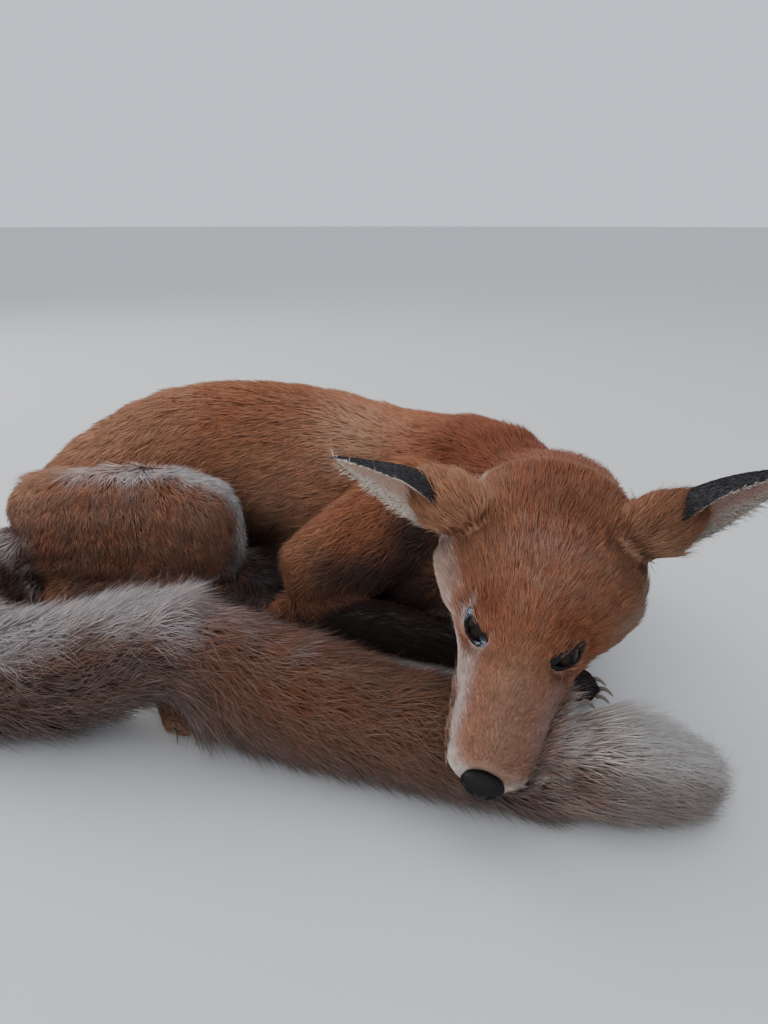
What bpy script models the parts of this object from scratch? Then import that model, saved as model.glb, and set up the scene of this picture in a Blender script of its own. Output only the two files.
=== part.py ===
# A red fox curled up with its head on its tail, a still life-size model. Metres, +Z up.
# The fox lies on its left side. Its back is at +Y, and its head looks toward -Y.
import math

import bpy
import numpy as np

# Driving dimensions
gap = 0.0003  # clearance between neighbouring solids
carveGap = 0.0004  # how far a cutter stands off the solid it copies
eyeSpacing = 0.0430  # between the centres of the eyeballs
eyeRadius = 0.0092
headPlace = (0.0727, 0.3579, 0.0986)  # midpoint between the eyes
headYaw = math.radians(-113.0)
headPitch = math.radians(33.0)
headRoll = math.radians(-12.0)
noseSize = np.array([0.0070, 0.0108, 0.0088])  # half length, half width, half height
earRoot = np.array([[0.030], [0.025], [0.019]])  # half sizes of the mound the ear grows from
earWidth = 0.066
earThickness = 0.0034
earCup = 0.70  # depth of the scoop for its half width
earPinch = 0.5  # how much of its inner half width is gathered in at the root
earGatherReach = 0.4  # share of its length over which that ends
moundAhead = 0.006  # how far the mound stands along the ear, and how far behind its opening
moundBehind = 0.010
toeLength = 0.015  # half length of a toe
toeWidth = 0.0072  # half width
toeHeight = 0.0088  # of its middle above the floor
toeLeads = (-0.003, 0.004, 0.004, -0.003)  # how far each toe stands ahead of the paw's end
clawLength = 0.0135
clawWidth = 0.0017  # half width at the root
clawDepth = 0.0021  # half depth at the root
clawInset = 0.004  # how much of a claw lies inside its toe
capAngles = np.radians([0, 35, 62])  # where the rings of a rounded end lie

rust = (0.46, 0.17, 0.055)
brown = (0.30, 0.15, 0.08)
darkBrown = (0.06, 0.035, 0.025)
greyBrown = (0.30, 0.23, 0.18)
cream = (0.72, 0.64, 0.53)
black = (0.015, 0.013, 0.013)
horn = (0.35, 0.30, 0.24)


def clearScene():
    for old in list(bpy.data.objects):
        bpy.data.objects.remove(old, do_unlink=True)


def newMaterial(name, colour, roughness):
    material = bpy.data.materials.new(name)
    material.use_nodes = True
    shader = material.node_tree.nodes["Principled BSDF"]
    shader.inputs["Base Color"].default_value = (*colour, 1.0)
    shader.inputs["Roughness"].default_value = roughness
    shader.inputs["Metallic"].default_value = 0.0
    return material


def addMesh(name, points, faces, colour, roughness=0.9):
    mesh = bpy.data.meshes.new(name)
    mesh.from_pydata(points.tolist(), [], faces)
    mesh.materials.append(newMaterial(name, colour, roughness))
    mesh.shade_smooth()
    mesh.set_sharp_from_angle(angle=math.radians(40))
    obj = bpy.data.objects.new(name, mesh)
    bpy.context.scene.collection.objects.link(obj)
    obj.parent = root
    return obj


# A smooth curve through rows of numbers (Catmull-Rom), sampled densely, with the distance run so far.
def smoothRows(rows, steps=40):
    rows = np.asarray(rows, float)
    before = 2 * rows[0] - rows[1]
    after = 2 * rows[-1] - rows[-2]
    p = np.vstack([before, rows, after])
    t = np.linspace(0, 1, steps, endpoint=False)[:, None]
    parts = []
    for i in range(1, len(p) - 2):
        a = 2 * p[i]
        b = p[i + 1] - p[i - 1]
        c = 2 * p[i - 1] - 5 * p[i] + 4 * p[i + 1] - p[i + 2]
        d = -p[i - 1] + 3 * p[i] - 3 * p[i + 1] + p[i + 2]
        parts.append(0.5 * (a + b * t + c * t**2 + d * t**3))
    dense = np.vstack([*parts, rows[-1:]])
    run = np.linalg.norm(np.diff(dense[:, :3], axis=0), axis=1)
    return dense, np.concatenate([[0.0], np.cumsum(run)])


# Distances of the rings of one length: evenly spread, and bunched toward a rounded end.
def ringPlaces(start, end, count, startCap, endCap):
    first = start + startCap * (1 - np.cos(capAngles)) if startCap else np.array([start])
    last = end - endCap * (1 - np.cos(capAngles)) if endCap else np.array([end])
    middle = np.linspace(start + startCap, end - endCap, count + 2)
    if not startCap:
        middle = middle[1:]
    if not endCap:
        middle = middle[:-1]
    return np.concatenate([first, middle, last[::-1]])


# Closed rings of points about a path. Each row is x, y, z, half width, half height, power.
# A ring is a superellipse of that power across the path, its height as near to `up` as it can be.
def ringGrid(rows, places, whole, startCap, endCap, segments, up):
    dense, run = smoothRows(rows)
    values = np.stack([np.interp(places, run, dense[:, k]) for k in range(6)], axis=1)
    slope = np.gradient(dense[:, :3], axis=0)
    tangent = np.stack([np.interp(places, run, slope[:, k]) for k in range(3)], axis=1)
    tangent /= np.linalg.norm(tangent, axis=1, keepdims=True)
    side = np.cross(tangent, np.asarray(up, float))
    side /= np.linalg.norm(side, axis=1, keepdims=True)
    rise = np.cross(side, tangent)
    shrink = np.ones(len(places))
    if startCap:
        near = np.clip(1 - places / startCap, 0, 1)
        shrink *= np.sqrt(1 - near**2)
    if endCap:
        near = np.clip(1 - (whole - places) / endCap, 0, 1)
        shrink *= np.sqrt(1 - near**2)
    angle = np.linspace(0, 2 * math.pi, segments, endpoint=False)
    power = 2 / values[:, 5:6]
    across = np.sign(np.cos(angle)) * np.abs(np.cos(angle)) ** power
    above = np.sign(np.sin(angle)) * np.abs(np.sin(angle)) ** power
    wide = (values[:, 3:4] * shrink[:, None] * across)[..., None] * side[:, None, :]
    high = (values[:, 4:5] * shrink[:, None] * above)[..., None] * rise[:, None, :]
    return values[:, None, :3] + wide + high


# Points and faces of a closed tube from its rings: a ring shrunk to nothing becomes one pole.
# The sides are triangles, so that a cutter copied from the tube has exactly its surface.
def closeRings(grid):
    ringCount, segments = grid.shape[:2]
    firstPole = np.ptp(grid[0], axis=0).max() < 1e-6
    lastPole = np.ptp(grid[-1], axis=0).max() < 1e-6
    body = grid[int(firstPole) : ringCount - int(lastPole)]
    points = body.reshape(-1, 3)
    around = np.arange(segments)
    after = (around + 1) % segments
    faces = []
    for i in range(len(body) - 1):
        low, high = i * segments, (i + 1) * segments
        faces += np.stack([low + around, low + after, high + after], axis=1).tolist()
        faces += np.stack([low + around, high + after, high + around], axis=1).tolist()
    top = (len(body) - 1) * segments
    if firstPole:
        points = np.vstack([points, grid[0, :1]])
        pole = np.full(segments, len(points) - 1)
        faces += np.stack([pole, after, around], axis=1).tolist()
    else:
        faces.append(around[::-1].tolist())
    if lastPole:
        points = np.vstack([points, grid[-1, :1]])
        pole = np.full(segments, len(points) - 1)
        faces += np.stack([pole, top + around, top + after], axis=1).tolist()
    else:
        faces.append((top + around).tolist())
    return points, faces


def faceOutward(points, faces):
    first = np.array([points[f[0]] for f in faces])
    volume = 0.0
    for start, face in zip(first, faces):
        for k in range(1, len(face) - 1):
            volume += np.dot(start, np.cross(points[face[k]], points[face[k + 1]]))
    return faces if volume > 0 else [face[::-1] for face in faces]


# One path parted into named lengths by thin cuts square to it.
def lengths(names, rows, cuts, ringCounts, caps, segments, colours, power=2.2, up=(0, 0, 1)):
    rows = [(*row, power) for row in rows]
    dense, run = smoothRows(rows)
    whole = run[-1]
    edges = [0.0, *[cut * whole for cut in cuts], whole]
    made = []
    for i, name in enumerate(names):
        start = edges[i] + (gap / 2 if i else 0)
        end = edges[i + 1] - (gap / 2 if i < len(names) - 1 else 0)
        startCap = caps[0] if i == 0 else 0
        endCap = caps[1] if i == len(names) - 1 else 0
        places = ringPlaces(start, end, ringCounts[i], startCap, endCap)
        grid = ringGrid(rows, places, whole, caps[0], caps[1], segments, up)
        grid[..., 2] = np.maximum(grid[..., 2], 0)
        points, faces = closeRings(grid)
        made.append(addMesh(name, points, faceOutward(points, faces), colours[i]))
    return made


def limb(name, rows, colour, rings=3, caps=(0.02, 0.02), segments=9, up=(0, 0, 1), power=2.1):
    return lengths([name], rows, [], [rings], caps, segments, [colour], power, up)[0]


# Head space: x toward the nose, y toward the fox's left, z up, from the midpoint between the eyes.
def headAxes():
    cy, sy = math.cos(headYaw), math.sin(headYaw)
    cp, sp = math.cos(headPitch), math.sin(headPitch)
    cr, sr = math.cos(headRoll), math.sin(headRoll)
    turn = np.array([[cy, -sy, 0], [sy, cy, 0], [0, 0, 1]])
    nod = np.array([[cp, 0, sp], [0, 1, 0], [-sp, 0, cp]])
    lean = np.array([[1, 0, 0], [0, cr, -sr], [0, sr, cr]])
    return turn @ nod @ lean


def fromHead(points):
    return np.asarray(points, float) @ headAxes().T + np.array(headPlace)


# Rows of the head and jaw: x, centre height, half width, half height, power, along the middle plane.
headRows = [
    (-0.118, -0.014, 0.044, 0.043, 2.1),
    (-0.100, -0.012, 0.051, 0.0465, 2.1),
    (-0.082, -0.011, 0.0560, 0.0460, 2.1),
    (-0.062, -0.012, 0.0600, 0.0445, 2.1),
    (-0.042, -0.0125, 0.0610, 0.0430, 2.1),
    (-0.026, -0.0115, 0.0535, 0.0370, 2.0),
    (-0.012, -0.0120, 0.0420, 0.0305, 1.75),
    (0.000, -0.0140, 0.0345, 0.0265, 1.65),
    (0.012, -0.0160, 0.0305, 0.0245, 1.8),
    (0.028, -0.0175, 0.0265, 0.0225, 2.1),
    (0.046, -0.0185, 0.0245, 0.0200, 2.3),
    (0.062, -0.0190, 0.0222, 0.0175, 2.4),
    (0.0745, -0.0195, 0.0150, 0.0125, 2.3),
]
jawRows = [
    (-0.040, -0.047, 0.031, 0.011, 2.0),
    (-0.010, -0.0435, 0.023, 0.011, 2.0),
    (0.020, -0.0405, 0.017, 0.010, 2.0),
    (0.045, -0.0385, 0.0140, 0.0085, 2.0),
    (0.0630, -0.0355, 0.0105, 0.0065, 2.0),
]


def headLoft(name, profile, rings, caps, segments, colour):
    rows = [(x, 0.0, z, wide, high, power) for x, z, wide, high, power in profile]
    dense, run = smoothRows(rows)
    places = ringPlaces(0.0, run[-1], rings, *caps)
    grid = ringGrid(rows, places, run[-1], *caps, segments, (0, 0, 1))
    points, faces = closeRings(fromHead(grid))
    return addMesh(name, points, faceOutward(points, faces), colour)


# An ellipsoid: its three axes are the rows of `axes`, each as long as the half size.
def ellipsoid(name, centre, axes, colour, roughness=0.9, segments=10, rings=7):
    turn = np.linspace(0, 2 * math.pi, segments, endpoint=False)
    tilt = np.linspace(0, math.pi, rings + 2)
    grid = np.stack(
        [
            np.sin(tilt)[:, None] * np.cos(turn)[None, :],
            np.sin(tilt)[:, None] * np.sin(turn)[None, :],
            np.repeat(np.cos(tilt)[:, None], segments, axis=1),
        ],
        axis=2,
    )
    grid = grid @ np.asarray(axes, float) + np.asarray(centre, float)
    points, faces = closeRings(grid)
    return addMesh(name, points, faceOutward(points, faces), colour, roughness)


def eye(name, side):
    place = fromHead((-0.0030, side * eyeSpacing / 2, -0.0015))
    return ellipsoid(name, place, eyeRadius * np.eye(3), black, 0.1, 10, 4)


def nosePad():
    axes = headAxes()
    half = noseSize[:, None] * axes.T
    return ellipsoid("nose", fromHead((0.0750, 0, -0.0125)), half, black, 0.35, 10, 4)


# Where an ear's root is, the way it points, the way its opening faces, across it, and its length.
def earAxes(base, tip, opening):
    base, tip = fromHead(base), fromHead(tip)
    reach = np.linalg.norm(tip - base)
    along = (tip - base) / reach
    face = headAxes() @ np.asarray(opening, float)
    face -= along * np.dot(face, along)
    face /= np.linalg.norm(face)
    return base, along, face, np.cross(along, face), reach


# The mound of muscle and fur that an ear grows from, joined to the head.
def earMound(name, place):
    base, along, face, across, _ = earAxes(*place)
    axes = earRoot * np.stack([along, across, face])
    mound = ellipsoid(name, base + moundAhead * along - moundBehind * face, axes, rust, 0.9, 9, 4)
    unite(head, mound)
    return mound


# A cupped leaf: v runs from base to tip, u across. The front face is scooped by cup * (1 - u * u).
# Its inner half, on the side `inner`, is gathered in at the root.
def ear(name, place, inner, bend, colour):
    base, along, face, across, reach = earAxes(*place)
    v = np.array([-0.1, 0.05, 0.2, 0.4, 0.6, 0.78, 0.92, 1.0])
    u = np.sin(np.linspace(-math.pi / 2, math.pi / 2, 7))
    width = earWidth / 2 * np.clip(1 - np.clip(v, 0, 1) ** 1.55, 0.05, 1) ** 0.85
    middle = base + np.outer(v * reach, along) + np.outer(bend * np.clip(v, 0, 1) ** 2, face)
    gather = 1 - earPinch * np.clip(1 - v / earGatherReach, 0, 1)[:, None] * np.clip(inner * u, 0, 1)[None, :]
    side = (width[:, None] * gather * u[None, :])[..., None] * across
    scoop = (earCup * width[:, None] * (1 - u[None, :] ** 2))[..., None] * face
    thick = earThickness * (0.45 + 0.55 * np.sqrt(1 - u[None, :] ** 2 * 0.9))
    back = middle[:, None, :] + side - scoop
    front = back + thick[..., None] * face
    grid = np.concatenate([back, front[:, ::-1]], axis=1)
    points, faces = closeRings(grid)
    return addMesh(name, points, faceOutward(points, faces), colour)


# Cuts `target` by a copy of `other` that stands off it by carveGap, so that they meet but never overlap.
def carve(target, other):
    mesh = other.data.copy()
    count = len(mesh.vertices)
    points = np.empty(count * 3)
    normals = np.empty(count * 3)
    mesh.vertices.foreach_get("co", points)
    mesh.vertex_normals.foreach_get("vector", normals)
    mesh.vertices.foreach_set("co", points + carveGap * normals)
    cutter = bpy.data.objects.new(f"cut_{target.name}_{other.name}", mesh)
    bpy.context.scene.collection.objects.link(cutter)
    cutter.parent = root
    cutter.hide_render = True
    cutter.display_type = "WIRE"
    cut = target.modifiers.new(f"clear of {other.name}", "BOOLEAN")
    cut.operation = "DIFFERENCE"
    cut.solver = "EXACT"
    cut.object = cutter


# Joins `other` to `target`. The joined shape stays in the scene as a guide.
def unite(target, other):
    other.hide_render = True
    other.display_type = "WIRE"
    join = target.modifiers.new(f"with {other.name}", "BOOLEAN")
    join.operation = "UNION"
    join.solver = "EXACT"
    join.object = other


# A paw: the long part from joint to toes, and four toes fanned at its end, each with its claw.
def paw(name, rows, colour, spread):
    body = limb(name, rows, colour, 3, (0.010, 0.012), 8)
    end = np.array(rows[-1][:3])
    ahead = end - np.array(rows[-2][:3])
    ahead[2] = 0
    ahead /= np.linalg.norm(ahead)
    across = np.array([-ahead[1], ahead[0], 0.0])
    for i, lead in enumerate(toeLeads):
        centre = end + across * (i - 1.5) * spread + ahead * lead
        centre[2] = toeHeight
        half = np.stack([toeLength * ahead, toeWidth * across, np.array([0, 0, 0.98 * toeHeight])])
        unite(body, ellipsoid(f"{name}_toe_{i + 1}", centre, half, colour, 0.9, 5, 3))
        clawRoot = centre + ahead * (toeLength - clawInset)
        unite(body, claw(f"{name}_claw_{i + 1}", clawRoot, ahead))
    return body


# A curved spike that leaves the toe level and bends down by clawLength / 3.
def claw(name, start, heading):
    rows = []
    for t in (0, 0.5, 1):
        place = start + heading * clawLength * t
        place[2] = start[2] - clawLength / 3 * t**2
        rows.append((*place, clawWidth * (1 - 0.75 * t), clawDepth * (1 - 0.7 * t)))
    return lengths([name], rows, [], [0], (0, 0), 5, [horn])[0]


def centreOnFloor():
    bpy.context.view_layer.update()
    graph = bpy.context.evaluated_depsgraph_get()
    low = np.full(3, np.inf)
    high = np.full(3, -np.inf)
    for obj in bpy.context.scene.objects:
        if obj.type != "MESH" or obj.hide_render:
            continue
        corners = np.array([obj.matrix_world @ v.co for v in obj.evaluated_get(graph).data.vertices])
        low = np.minimum(low, corners.min(axis=0))
        high = np.maximum(high, corners.max(axis=0))
    root.location = (-(low[0] + high[0]) / 2, -(low[1] + high[1]) / 2, 0)
    print("shift", tuple(root.location), "size", high - low)


clearScene()
root = bpy.data.objects.new("fox", None)
bpy.context.scene.collection.objects.link(root)

# Spine, from the rump round to the head. Each row: x, y, z, half width, half height.
spineRows = [
    (-0.252, 0.566, 0.062, 0.046, 0.046),
    (-0.244, 0.606, 0.070, 0.057, 0.062),
    (-0.220, 0.645, 0.077, 0.064, 0.076),
    (-0.178, 0.672, 0.084, 0.070, 0.087),
    (-0.120, 0.685, 0.085, 0.072, 0.088),
    (-0.060, 0.690, 0.082, 0.076, 0.083),
    (0.000, 0.685, 0.074, 0.079, 0.074),
    (0.050, 0.664, 0.073, 0.078, 0.073),
    (0.086, 0.628, 0.077, 0.064, 0.077),
    (0.105, 0.578, 0.076, 0.058, 0.069),
    (0.117, 0.525, 0.091, 0.056, 0.063),
    (0.115, 0.480, 0.108, 0.052, 0.061),
    (0.107, 0.440, 0.127, 0.046, 0.045),
    (0.096, 0.405, 0.128, 0.034, 0.032),
]
rump, loin, chest, neck = lengths(
    ["rump", "loin", "chest", "neck"],
    spineRows,
    [0.24, 0.45, 0.76],
    [4, 4, 5, 3],
    (0.045, 0.03),
    22,
    [rust, rust, rust, rust],
    2.25,
)

head = headLoft("head", headRows, 10, (0.022, 0.008), 20, rust)
jaw = headLoft("lower_jaw", jawRows, 3, (0.012, 0.008), 10, cream)
nose = nosePad()
eyeLeft = eye("eye_left", 1)
eyeRight = eye("eye_right", -1)
earPlaceRight = ((-0.050, -0.052, 0.014), (-0.060, -0.124, 0.043), (0.9, 0.1, -0.30))
earPlaceLeft = ((-0.069, 0.056, 0.021), (-0.110, 0.112, 0.070), (0.9, -0.1, -0.50))
moundRight = earMound("ear_mound_right", earPlaceRight)
moundLeft = earMound("ear_mound_left", earPlaceLeft)
earRight = ear("ear_right", earPlaceRight, 1, 0.004, black)
earLeft = ear("ear_left", earPlaceLeft, -1, 0.004, black)
for other in (eyeLeft, eyeRight, nose):
    carve(head, other)
for piece in (jaw, earLeft, earRight, neck):
    carve(piece, head)
carve(neck, jaw)
for mound, grown in ((moundRight, earRight), (moundLeft, earLeft)):
    carve(grown, mound)
    carve(neck, mound)

# Tail, from its root round the near side to the tip.
tailRows = [
    (-0.288, 0.588, 0.064, 0.027, 0.028),
    (-0.320, 0.548, 0.046, 0.034, 0.034),
    (-0.3205, 0.488, 0.044, 0.043, 0.042),
    (-0.284, 0.440, 0.045, 0.045, 0.044),
    (-0.235, 0.416, 0.045, 0.045, 0.045),
    (-0.186, 0.410, 0.055, 0.043, 0.043),
    (-0.131, 0.407, 0.073, 0.039, 0.038),
    (-0.090, 0.404, 0.052, 0.042, 0.042),
    (-0.045, 0.393, 0.041, 0.042, 0.042),
    (0.005, 0.377, 0.036, 0.039, 0.037),
    (0.050, 0.360, 0.036, 0.038, 0.037),
    (0.095, 0.350, 0.033, 0.036, 0.034),
    (0.140, 0.346, 0.030, 0.033, 0.031),
    (0.172, 0.345, 0.026, 0.026, 0.024),
    (0.197, 0.344, 0.020, 0.014, 0.012),
]
tailPieces = lengths(
    ["tail_root", "tail_bend", "tail_middle", "tail_front", "tail_tip"],
    tailRows,
    [0.20, 0.42, 0.62, 0.81],
    [3, 4, 4, 4, 4],
    (0.02, 0.02),
    12,
    [greyBrown, greyBrown, brown, brown, cream],
)
tailRoot, tailBend, tailMiddle, tailFront, tailTip = tailPieces

thighRight = limb(
    "thigh_right",
    [
        (-0.302, 0.596, 0.060, 0.034, 0.044),
        (-0.272, 0.588, 0.069, 0.042, 0.053),
        (-0.220, 0.580, 0.075, 0.044, 0.055),
        (-0.165, 0.578, 0.073, 0.042, 0.052),
        (-0.112, 0.578, 0.062, 0.032, 0.042),
    ],
    brown,
    4,
    (0.03, 0.03),
    14,
)
shankRight = limb(
    "shank_right",
    [
        (-0.140, 0.562, 0.046, 0.024, 0.027),
        (-0.180, 0.556, 0.038, 0.026, 0.027),
        (-0.225, 0.553, 0.031, 0.021, 0.022),
        (-0.268, 0.552, 0.026, 0.016, 0.018),
    ],
    brown,
    3,
    (0.02, 0.012),
)
thighLeft = limb(
    "thigh_left",
    [
        (-0.235, 0.585, 0.020, 0.032, 0.022),
        (-0.190, 0.588, 0.021, 0.036, 0.023),
        (-0.140, 0.590, 0.023, 0.034, 0.024),
        (-0.085, 0.596, 0.022, 0.033, 0.023),
        (-0.045, 0.600, 0.020, 0.026, 0.021),
    ],
    rust,
    3,
)
shankLeft = limb(
    "shank_left",
    [
        (-0.108, 0.566, 0.018, 0.020, 0.018),
        (-0.145, 0.545, 0.017, 0.021, 0.018),
        (-0.182, 0.526, 0.015, 0.017, 0.016),
    ],
    rust,
    3,
    (0.014, 0.012),
)
armRight = limb(
    "upper_arm_right",
    [
        (0.060, 0.618, 0.094, 0.036, 0.040),
        (0.026, 0.594, 0.080, 0.044, 0.050),
        (-0.018, 0.566, 0.063, 0.041, 0.046),
        (-0.056, 0.545, 0.049, 0.031, 0.036),
        (-0.078, 0.534, 0.041, 0.022, 0.028),
    ],
    rust,
    4,
    (0.025, 0.016),
    12,
)
forearmRight = limb(
    "forearm_right",
    [
        (-0.074, 0.530, 0.024, 0.018, 0.021),
        (-0.030, 0.518, 0.024, 0.021, 0.022),
        (0.030, 0.496, 0.022, 0.018, 0.019),
        (0.090, 0.470, 0.019, 0.014, 0.016),
    ],
    darkBrown,
    3,
    (0.014, 0.008),
)
armLeft = limb(
    "upper_arm_left",
    [
        (0.110, 0.606, 0.080, 0.032, 0.042),
        (0.142, 0.630, 0.060, 0.033, 0.043),
        (0.164, 0.650, 0.040, 0.024, 0.032),
    ],
    rust,
    3,
    (0.02, 0.018),
)
forearmLeft = limb(
    "forearm_left",
    [
        (0.170, 0.648, 0.024, 0.019, 0.023),
        (0.163, 0.605, 0.021, 0.017, 0.019),
        (0.151, 0.559, 0.017, 0.013, 0.015),
    ],
    darkBrown,
    3,
    (0.014, 0.008),
)
foreRight = paw(
    "fore_paw_right",
    [
        (0.088, 0.471, 0.019, 0.014, 0.0160),
        (0.110, 0.461, 0.018, 0.018, 0.0160),
        (0.132, 0.450, 0.015, 0.020, 0.0140),
    ],
    darkBrown,
    0.0098,
)
foreLeft = paw(
    "fore_paw_left",
    [
        (0.150, 0.556, 0.018, 0.014, 0.0155),
        (0.145, 0.535, 0.017, 0.017, 0.0150),
        (0.137, 0.512, 0.014, 0.019, 0.0130),
    ],
    darkBrown,
    0.0095,
)
hindRight = paw(
    "hind_foot_right",
    [
        (-0.268, 0.551, 0.026, 0.013, 0.0170),
        (-0.240, 0.517, 0.020, 0.014, 0.0170),
        (-0.212, 0.482, 0.016, 0.017, 0.0150),
        (-0.190, 0.455, 0.013, 0.019, 0.0120),
    ],
    brown,
    0.0090,
)
hindLeft = paw(
    "hind_foot_left",
    [
        (-0.186, 0.525, 0.015, 0.013, 0.0150),
        (-0.165, 0.485, 0.015, 0.014, 0.0150),
        (-0.142, 0.445, 0.014, 0.018, 0.0140),
        (-0.124, 0.415, 0.012, 0.020, 0.0115),
    ],
    brown,
    0.0090,
)

for limbPiece, others in (
    (thighRight, (rump, loin)),
    (shankRight, (thighRight, rump, loin)),
    (thighLeft, (thighRight, shankRight, rump, loin)),
    (shankLeft, (thighLeft, thighRight, shankRight)),
    (hindRight, (shankRight, shankLeft, thighRight)),
    (hindLeft, (shankLeft, thighLeft, shankRight)),
    (armRight, (chest, neck, thighLeft)),
    (forearmRight, (armRight, chest, neck)),
    (foreRight, (forearmRight,)),
    (armLeft, (chest,)),
    (forearmLeft, (armLeft, chest)),
    (foreLeft, (forearmLeft, chest, neck)),
    (tailRoot, (rump, thighRight, hindRight)),
    (tailBend, (hindRight,)),
    (tailMiddle, (hindRight, hindLeft)),
    (tailFront, (head, jaw)),
    (tailTip, (head, jaw)),
):
    for other in others:
        carve(limbPiece, other)
centreOnFloor()
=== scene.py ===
import math

import bmesh
import bpy
import numpy as np
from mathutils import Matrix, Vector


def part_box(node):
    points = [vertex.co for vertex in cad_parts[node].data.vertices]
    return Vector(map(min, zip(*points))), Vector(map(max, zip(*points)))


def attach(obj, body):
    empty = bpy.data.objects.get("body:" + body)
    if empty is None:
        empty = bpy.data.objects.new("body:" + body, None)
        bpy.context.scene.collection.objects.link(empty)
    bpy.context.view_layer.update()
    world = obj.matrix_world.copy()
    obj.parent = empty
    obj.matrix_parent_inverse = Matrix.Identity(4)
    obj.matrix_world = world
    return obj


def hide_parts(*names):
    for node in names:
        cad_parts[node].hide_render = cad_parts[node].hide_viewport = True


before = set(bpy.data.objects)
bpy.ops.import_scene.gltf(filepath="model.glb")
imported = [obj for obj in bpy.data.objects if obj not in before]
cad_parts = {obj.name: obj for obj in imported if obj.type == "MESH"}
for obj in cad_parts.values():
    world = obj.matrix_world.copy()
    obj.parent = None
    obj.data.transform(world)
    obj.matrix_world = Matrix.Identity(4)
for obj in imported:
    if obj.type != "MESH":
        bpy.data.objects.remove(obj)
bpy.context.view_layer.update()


# Small helpers.

# Rows scaled to length 1.
def unit(v):
    return v / np.maximum(np.linalg.norm(v, axis=-1, keepdims=True), 1e-12)


# 0 below `low`, 1 above `high`, and 3t^2 - 2t^3 between them.
def ramp(x, low, high):
    t = np.clip((x - low) / (high - low), 0, 1)
    return t * t * (3 - 2 * t)


# A bell around `middle`: exp of minus the squared distance over `size`, which may differ along each axis.
def bell(points, middle, size):
    return np.exp(-(((points - np.asarray(middle)) / np.asarray(size)) ** 2).sum(axis=1))


# Smooth noise from -1 to 1: the sum of twelve sines in seeded directions, about `size` from crest to crest.
def waves(points, size, seed):
    seeded = np.random.default_rng(seed)
    ways = unit(seeded.normal(size=(12, 3))) * seeded.uniform(0.7, 1.5, (12, 1)) * 2 * math.pi / size
    return np.clip(np.sin(points @ ways.T + seeded.uniform(0, 2 * math.pi, 12)).sum(axis=1) / 4, -1, 1)


# The mix of two colours, row by row.
def mix(first, second, share):
    share = np.asarray(share)[:, None]
    return first * (1 - share) + np.asarray(second) * share


def read(collection, field, width, kind=np.float64):
    values = np.empty(len(collection) * width, kind)
    collection.foreach_get(field, values)
    return values.reshape(-1, width) if width > 1 else values


# A mesh object from arrays: the faces are rows of corners, all with as many corners.
def meshObject(name, points, *faceRows):
    mesh = bpy.data.meshes.new(name)
    corners = np.concatenate([rows.ravel() for rows in faceRows]).astype(np.int32)
    counts = np.concatenate([np.full(len(rows), rows.shape[1]) for rows in faceRows])
    mesh.vertices.add(len(points))
    mesh.vertices.foreach_set("co", np.ascontiguousarray(points, np.float32).ravel())
    mesh.loops.add(len(corners))
    mesh.loops.foreach_set("vertex_index", corners)
    mesh.polygons.add(len(counts))
    mesh.polygons.foreach_set("loop_start", np.concatenate([[0], np.cumsum(counts)[:-1]]).astype(np.int32))
    mesh.update(calc_edges=True)
    mesh.shade_smooth()
    obj = bpy.data.objects.new(name, mesh)
    bpy.context.scene.collection.objects.link(obj)
    return obj


# Every face turned outward, with equal points joined first if `weld`.
def turnOutward(obj, weld=False):
    mesh = bmesh.new()
    mesh.from_mesh(obj.data)
    if weld:
        bmesh.ops.remove_doubles(mesh, verts=mesh.verts, dist=1e-6)
    bmesh.ops.recalc_face_normals(mesh, faces=mesh.faces)
    mesh.to_mesh(obj.data)
    mesh.free()


def putColours(obj, name, values):
    attribute = obj.data.attributes.new(name, "FLOAT_COLOR", "POINT")
    rows = np.ones((len(values), 4), np.float32)
    rows[:, :3] = values
    attribute.data.foreach_set("color", rows.ravel())


def putNumbers(obj, name, values):
    attribute = obj.data.attributes.new(name, "FLOAT", "POINT")
    attribute.data.foreach_set("value", np.ascontiguousarray(values, np.float32))


# Faces of a grid of `rows` by `columns` points, closed round its columns if `wrap`.
def gridFaces(rows, columns, wrap):
    i = np.arange(rows - 1)[:, None]
    j = np.arange(columns if wrap else columns - 1)[None, :]
    after = (j + 1) % columns
    return np.stack(
        [i * columns + j, i * columns + after, (i + 1) * columns + after, (i + 1) * columns + j], axis=2
    ).reshape(-1, 4)


def finishPiece(obj, slot, material, *nodes):
    obj.data.materials.append(material)
    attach(obj, "root")
    if nodes:
        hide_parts(*nodes)
    return obj


# The head's own axes, from the eyes and the nose.

def boxMiddle(node):
    low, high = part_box(node)
    return (np.array(low) + np.array(high)) / 2


eyeMiddles = {side: boxMiddle(node) for side, node in ((1, "eye_left"), (-1, "eye_right"))}
noseMiddle = boxMiddle("nose")
noseDrop = math.atan2(0.011, 0.078)  # the nose lies this angle below the head's level line
leftward = unit(eyeMiddles[1] - eyeMiddles[-1])
noseward = noseMiddle - (eyeMiddles[1] + eyeMiddles[-1]) / 2
noseward = unit(noseward - leftward * np.dot(noseward, leftward))
forward = noseward * math.cos(noseDrop) + np.cross(noseward, leftward) * math.sin(noseDrop)
headAxes = np.stack([forward, leftward, np.cross(forward, leftward)], axis=1)
headOrigin = (eyeMiddles[1] + eyeMiddles[-1]) / 2 - headAxes @ np.array([-0.003, 0, -0.0015])


# Head space: x toward the nose, y toward the fox's left, z up, from between the eyes.
def toHead(points):
    return (np.asarray(points) - headOrigin) @ headAxes


def fromHead(points):
    return np.asarray(points) @ headAxes.T + headOrigin


# Camera, floor and light.

stage = {"cameraHeight": 0.31, "cameraX": 0.0732, "cameraY": -0.5331, "tiltDown": 21.0, "lens": 27.07}


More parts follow.
